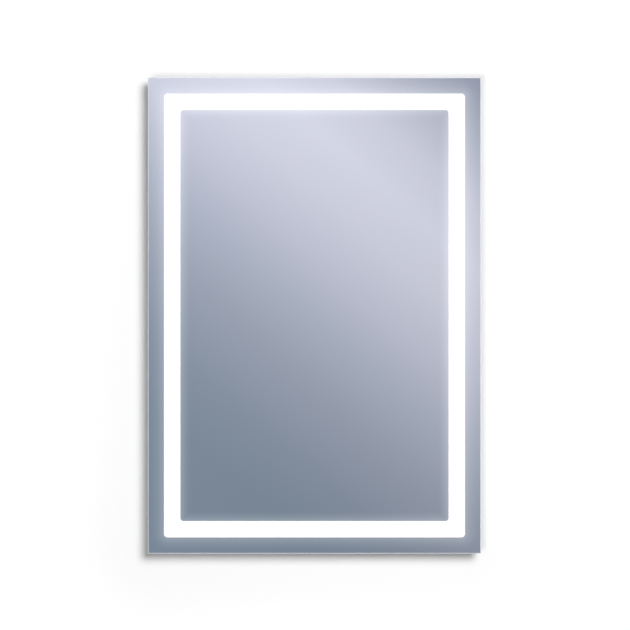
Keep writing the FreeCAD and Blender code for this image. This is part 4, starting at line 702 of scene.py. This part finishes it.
def build_rivet(radius, high, shank, depth):
    """A blind rivet's domed head with its pulled stem, and the bulged tail."""
    def build(work):
        turn_into(work, [
            (TIP, -depth), (shank * 0.8, -depth), (shank * 1.25, -depth + 0.0006),
            (shank * 1.25, -depth + 0.0012), (shank, -depth + 0.0017), (shank, 0),
            (radius * 0.98, 0), (radius, high * 0.16), (radius * 0.94, high * 0.42),
            (radius * 0.80, high * 0.70), (radius * 0.60, high * 0.90), (radius * 0.40, high),
            (radius * 0.33, high * 0.97), (radius * 0.30, high * 0.55),
            (radius * 0.27, high * 0.50), (radius * 0.24, high * 0.62), (TIP, high * 0.66)], 24)
    return build


def make_scatter_tree():
    """Geometry nodes: one fastener on every point, each turned by its own angle."""
    tree = bpy.data.node_groups.new("fasteners_on_points", "GeometryNodeTree")
    for label, kind in (("Geometry", "NodeSocketGeometry"), ("Fastener", "NodeSocketObject"),
                        ("Seed", "NodeSocketInt"), ("Finish", "NodeSocketMaterial")):
        tree.interface.new_socket(label, in_out="INPUT", socket_type=kind)
    tree.interface.new_socket("Geometry", in_out="OUTPUT", socket_type="NodeSocketGeometry")
    make = Tree(tree)
    given = make.add("NodeGroupInput")
    source = make.add("GeometryNodeObjectInfo", {"Object": given.outputs["Fastener"]},
                      transform_space="ORIGINAL")
    turn = make.add("FunctionNodeRandomValue", data_type="FLOAT")
    turn.inputs["Min"].default_value = 0
    turn.inputs[3].default_value = 2 * math.pi
    make.give(turn.inputs["Seed"], given.outputs["Seed"])
    spin = make.add("ShaderNodeCombineXYZ", {"Y": turn.outputs[1]})
    placed = make.add("GeometryNodeInstanceOnPoints", {
        "Points": given.outputs["Geometry"], "Instance": source.outputs["Geometry"],
        "Rotation": spin})
    solid = make.add("GeometryNodeRealizeInstances", {"Geometry": placed.outputs[0]})
    painted = make.add("GeometryNodeSetMaterial", {
        "Geometry": solid.outputs[0], "Material": given.outputs["Finish"]})
    out = make.add("NodeGroupOutput")
    make.give(out.inputs["Geometry"], painted.outputs[0])
    return tree


SCATTER = make_scatter_tree()


def scatter(name, master, points, finish, node, seed):
    """Copies of a master on points, as one plain mesh that stands for a node."""
    mesh = bpy.data.meshes.new(name + "_points")
    mesh.from_pydata(points, [], [])
    holder = in_scene(name + "_points", mesh)
    modifier = holder.modifiers.new("scatter", "NODES")
    values = {"Fastener": master, "Seed": seed, "Finish": finish}
    modifier.node_group = SCATTER
    for item in SCATTER.interface.items_tree:
        if item.item_type == "SOCKET" and item.in_out == "INPUT" and item.name in values:
            modifier[item.identifier] = values[item.name]
    graph = bpy.context.evaluated_depsgraph_get()
    made = bpy.data.meshes.new_from_object(holder.evaluated_get(graph), depsgraph=graph)
    made.name = name
    made.materials.clear()
    made.materials.append(finish)
    piece = in_scene(name, made)
    bpy.data.objects.remove(holder)
    bpy.data.objects.remove(master)
    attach(piece, "mirror")
    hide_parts(node)


RAIL_SHEET = 0.002
SMALL_HEAD = 0.0016  # height of the heads inside the box


def make_fasteners():
    """Screws and rivets: what shows at the back, and the screws that come through the panel."""
    panel_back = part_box("back_panel")[1].y
    rail_back = panel_back + RAIL_SHEET
    for name, node, builder, radius, shank, seat, seed in (
            ("panel_screws", "back_panel_screws", build_screw, 0.0030, 0.0015, panel_back, 3),
            ("rail_rivets", "hanger_rail_rivets", build_rivet, 0.0032, 0.0016, rail_back, 5),
            ("channel_screws", "led_channel_screws", build_tapping, 0.0028, 0.0015, None, 7),
            ("ear_screws", "driver_screws", build_tapping, 0.0028, 0.0015, None, 11)):
        boxes = loose_parts(node)
        near, far = boxes[0][0].y, boxes[0][1].y
        if seat is None:
            seat = near + SMALL_HEAD
            high, depth = seat - near, far - seat
        else:
            high, depth = far - seat, seat - near
        master = master_mesh(name + "_one", builder(radius, high, shank, depth))
        points = [((low.x + top.x) / 2, seat, (low.z + top.z) / 2) for low, top in boxes]
        scatter(name, master, points, ZINC, node, seed)


make_grommet()
make_bumpers()
make_fasteners()
for side in ("top", "right", "bottom", "left"):
    softened(f"frame_rail_{side}", f"rail_{side}", 0.0003, 0.006)
softened("wall_rail", "hooked_wall_rail", 0.0003, 0.006, "wall_bracket")
softened("hanger_rail", "hooked_hanger_rail", 0.0003, 0.006)
softened("switch_body", "switch_bezel", 0.0004, 0.0035)
softened("switch_rocker", "rocker_cap", 0.0005, 0.0018, "rocker")


# --- stage, light and camera --------------------------------------------------------------------

VIEW_WIDTH = 1.3227
LENS = 150.0
SENSOR = 36.0
CAMERA_GAP = VIEW_WIDTH / (SENSOR / LENS)
CAMERA_SHIFT = 0.00105
CARD_GAP = 8.0
CARD_HALF_X, CARD_HALF_Z = 80, 60
ACROSS_BANDS = (0.669, 0.754)  # shares of right and up in the distance across the card's bands
ALONG_BANDS = (0.83, 0.55)  # shares of left and up in the distance along them
FADE_REACH, FADE_SHARE = 1.5, 0.195  # how far along them they fade, and by how much
BANDS_SPAN = 3.2
# Distance across the bands and 8-bit colour. The colours from -1.2 to 1.2, which the
# photograph's view shows, were fitted to colours sampled from the photograph.
BANDS_TONES = (
    (-3.2, 196, 200, 210), (-2.4, 214, 217, 226), (-1.8, 150, 160, 174),
    (-1.2, 121, 135, 151), (-0.75, 122, 136, 151), (-0.5, 132, 143, 159),
    (-0.2, 153, 160, 176), (0.0, 168, 175, 191), (0.2, 187, 190, 206),
    (0.4, 201, 203, 218), (0.6, 208, 210, 225), (0.8, 200, 202, 217),
    (1.0, 176, 181, 196), (1.2, 149, 155, 172), (1.6, 132, 140, 156),
    (2.4, 172, 178, 190), (3.2, 212, 214, 222),
)
WALL_Y = 0.001
WALL_HALF, WALL_TOP = 7, 6
WALL_PAINTED_LIGHT = 0.08  # painted light that keeps the wall white away from the shadow, where the lamps leave it a little short of white
SHADOW_NEAR, SHADOW_FAR = 0.05, 0.25  # distances from the band over which that glow comes in
FLOOR_Z = -4.6
FLOOR_HALF = 30
FLOOR_SHADE, FLOOR_GLOW = 0.25, 0.76
FILL = 0.004  # what the room gives to rays that are neither seen nor reflected
ROOM_SLANT = (0.65, 0.76)  # shares of right and up in the step from dim to bright reflections
ROOM_STEP = 0.3
ROOM_DIM, ROOM_BRIGHT, ROOM_BEHIND = 0.2, 0.6, 0.6
# Name, place from the pane's centre (right, from the wall, up), diameter and power. The first
# two make the shadow: wide and dark at the lower left, thin at the upper right.
SOFTBOXES = (
    ("softbox_key", (3.52, -9.0, 3.605), 6.0, 950),
    ("softbox_low", (-2.18, -9.0, -2.234), 3.5, 256),
    ("softbox_back", (-1.5, 4.6, 3.8), 2.6, 300),
)


def stage_plane(name, corners, material):
    """A flat piece of the stage."""
    mesh = bpy.data.meshes.new(name)
    mesh.from_pydata(corners, [], [(0, 1, 2, 3)])
    mesh.materials.append(material)
    plane = in_scene(name, mesh)
    return plane


def make_wall_material():
    """White wall, kept evenly white away from the mirror's shadow by painted light, and seen
    through from behind.
    """
    material, tree = new_material("wall_white")
    diffuse = tree.add("ShaderNodeBsdfDiffuse", {"Color": (1.0, 1.0, 1.0)})
    distance = tree.add("ShaderNodeGroup", node_tree=BAND_DISTANCE)
    # Painted light: emission that grows with distance from the band, so the wall away from the
    # shadow comes out white.
    away = tree.add("ShaderNodeMapRange", {
        "Value": distance.outputs["Outside"], "From Min": SHADOW_NEAR, "From Max": SHADOW_FAR,
        "To Max": WALL_PAINTED_LIGHT}, interpolation_type="SMOOTHSTEP")
    white = tree.add("ShaderNodeEmission", {"Strength": away.outputs[0]})
    wall = tree.add("ShaderNodeAddShader")
    tree.give(wall.inputs[0], diffuse)
    tree.give(wall.inputs[1], white)
    clear = tree.add("ShaderNodeBsdfTransparent")
    geometry = tree.add("ShaderNodeNewGeometry")
    mixed = tree.add("ShaderNodeMixShader", {"Fac": geometry.outputs["Backfacing"]})
    tree.give(mixed.inputs[1], wall)
    tree.give(mixed.inputs[2], clear)
    finish_material(tree, mixed)
    return material


def make_floor_material():
    """Pale floor that stays pale behind the wall too."""
    material, tree = new_material("floor_pale")
    diffuse = tree.add("ShaderNodeBsdfDiffuse", {"Color": (FLOOR_SHADE,) * 3})
    pale = tree.add("ShaderNodeEmission", {"Color": (FLOOR_GLOW,) * 3, "Strength": 1.0})
    both = tree.add("ShaderNodeAddShader")
    tree.give(both.inputs[0], diffuse)
    tree.give(both.inputs[1], pale)
    finish_material(tree, both)
    return material


def make_card_material():
    """What the mirror sees of the room: soft slanting bands of light."""
    material, tree = new_material("room_card")
    parts = tree.add("ShaderNodeSeparateXYZ", {"Vector": position(tree)})
    across = tree.math("SUBTRACT", parts.outputs["X"], PANE_X)
    up = tree.math("SUBTRACT", parts.outputs["Z"], PANE_Z)
    # In half heights of the pane, as seen in it: straight bands that fade a little lengthwise.
    unit = HALF_Z * (1 + CARD_GAP / CAMERA_GAP)
    across = tree.math("DIVIDE", across, unit)
    up = tree.math("DIVIDE", up, unit)
    slant = tree.math("ADD", tree.math("MULTIPLY", across, ACROSS_BANDS[0]),
                      tree.math("MULTIPLY", up, ACROSS_BANDS[1]))
    along = tree.math("SUBTRACT", tree.math("MULTIPLY", up, ALONG_BANDS[1]),
                      tree.math("MULTIPLY", across, ALONG_BANDS[0]))
    fade = tree.add("ShaderNodeMapRange", {
        "Value": along, "From Min": -FADE_REACH, "From Max": FADE_REACH,
        "To Min": 1 - FADE_SHARE, "To Max": 1 + FADE_SHARE})
    # Past the last band the bands come again in turned order.
    again = tree.math("PINGPONG", tree.math("ADD", slant, BANDS_SPAN), 2 * BANDS_SPAN)
    factor = tree.math("DIVIDE", again, 2 * BANDS_SPAN)
    colours = []
    for place, *shade in BANDS_TONES:
        light = [value / tint for value, tint in zip(srgb(*shade), SILVER_TINT)]
        colours.append(((place + BANDS_SPAN) / (2 * BANDS_SPAN), light))
    colour = tree.ramp(factor, colours)
    glow = tree.add("ShaderNodeEmission", {"Color": colour, "Strength": fade.outputs[0]})
    finish_material(tree, glow)
    return material


def make_stage():
    """The wall, the floor, and the card that only reflections see."""
    wall = stage_plane("stage_wall", [
        (-WALL_HALF, WALL_Y, FLOOR_Z), (WALL_HALF, WALL_Y, FLOOR_Z),
        (WALL_HALF, WALL_Y, WALL_TOP), (-WALL_HALF, WALL_Y, WALL_TOP)], make_wall_material())
    floor = stage_plane("stage_floor", [
        (-FLOOR_HALF, -FLOOR_HALF, FLOOR_Z), (FLOOR_HALF, -FLOOR_HALF, FLOOR_Z),
        (FLOOR_HALF, FLOOR_HALF, FLOOR_Z), (-FLOOR_HALF, FLOOR_HALF, FLOOR_Z)],
        make_floor_material())
    y = FRONT_Y - CARD_GAP
    card = stage_plane("stage_room_card", [
        (CARD_HALF_X, y, -CARD_HALF_Z), (-CARD_HALF_X, y, -CARD_HALF_Z),
        (-CARD_HALF_X, y, CARD_HALF_Z), (CARD_HALF_X, y, CARD_HALF_Z)], make_card_material())
    for item in (wall, floor):
        item.visible_diffuse = False
        item.visible_glossy = False
    for part in ("camera", "diffuse", "shadow", "transmission", "volume_scatter"):
        setattr(card, f"visible_{part}", False)


def make_softboxes():
    """Round lamps that point at the middle of the pane."""
    for name, (right, out, up), size, power in SOFTBOXES:
        data = bpy.data.lights.new(name, "AREA")
        data.shape = "DISK"
        data.size = size
        data.energy = power
        lamp = in_scene(name, data)
        lamp.location = (PANE_X + right, out, PANE_Z + up)
        lamp.rotation_mode = "QUATERNION"
        towards = Vector((PANE_X, 0, PANE_Z)) - Vector((PANE_X + right, out, PANE_Z + up))
        lamp.rotation_quaternion = towards.to_track_quat("-Z", "Y")
        lamp.visible_glossy = False


def make_world():
    """White where it is seen, dim where it lights, and uneven where it is reflected."""
    world = bpy.data.worlds.new("white_room")
    world.use_nodes = True
    world.node_tree.nodes.clear()
    tree = Tree(world.node_tree)
    path = tree.add("ShaderNodeLightPath")
    seen = tree.math("MAXIMUM", path.outputs["Is Camera Ray"],
                     path.outputs["Is Transmission Ray"])
    # What surfaces reflect is brighter to the right, above and behind the wall.
    ray = tree.add("ShaderNodeSeparateXYZ", {
        "Vector": tree.add("ShaderNodeTexCoord").outputs["Generated"]})
    slant = tree.math("ADD", tree.math("MULTIPLY", ray.outputs["X"], ROOM_SLANT[0]),
                      tree.math("MULTIPLY", ray.outputs["Z"], ROOM_SLANT[1]))
    side = tree.add("ShaderNodeMapRange", {
        "Value": slant, "From Min": -ROOM_STEP, "From Max": ROOM_STEP,
        "To Min": ROOM_DIM, "To Max": ROOM_BRIGHT}, interpolation_type="SMOOTHSTEP")
    behind = tree.math("MAXIMUM", ray.outputs["Y"], 0.0)
    reflected = tree.math("MULTIPLY_ADD", behind, ROOM_BEHIND, side.outputs[0])
    lit = tree.math("MULTIPLY_ADD", path.outputs["Is Glossy Ray"],
                    tree.math("SUBTRACT", reflected, FILL), FILL)
    strength = tree.math("MULTIPLY_ADD", seen, tree.math("SUBTRACT", 1.0, lit), lit)
    background = tree.add("ShaderNodeBackground", {"Color": (1, 1, 1), "Strength": strength})
    out = tree.add("ShaderNodeOutputWorld")
    tree.give(out.inputs["Surface"], background)
    bpy.context.scene.world = world


def make_camera():
    """The photo's square-on view, with a long lens."""
    data = bpy.data.cameras.new("camera")
    data.lens = LENS
    data.sensor_width = SENSOR
    data.clip_end = 100
    camera = in_scene("camera", data)
    camera.location = (PANE_X + CAMERA_SHIFT, FRONT_Y - CAMERA_GAP, PANE_Z + CAMERA_SHIFT)
    camera.rotation_euler = (math.pi / 2, 0, 0)
    bpy.context.scene.camera = camera


make_stage()
make_world()
make_softboxes()
make_camera()
bpy.context.scene.view_settings.view_transform = "Standard"
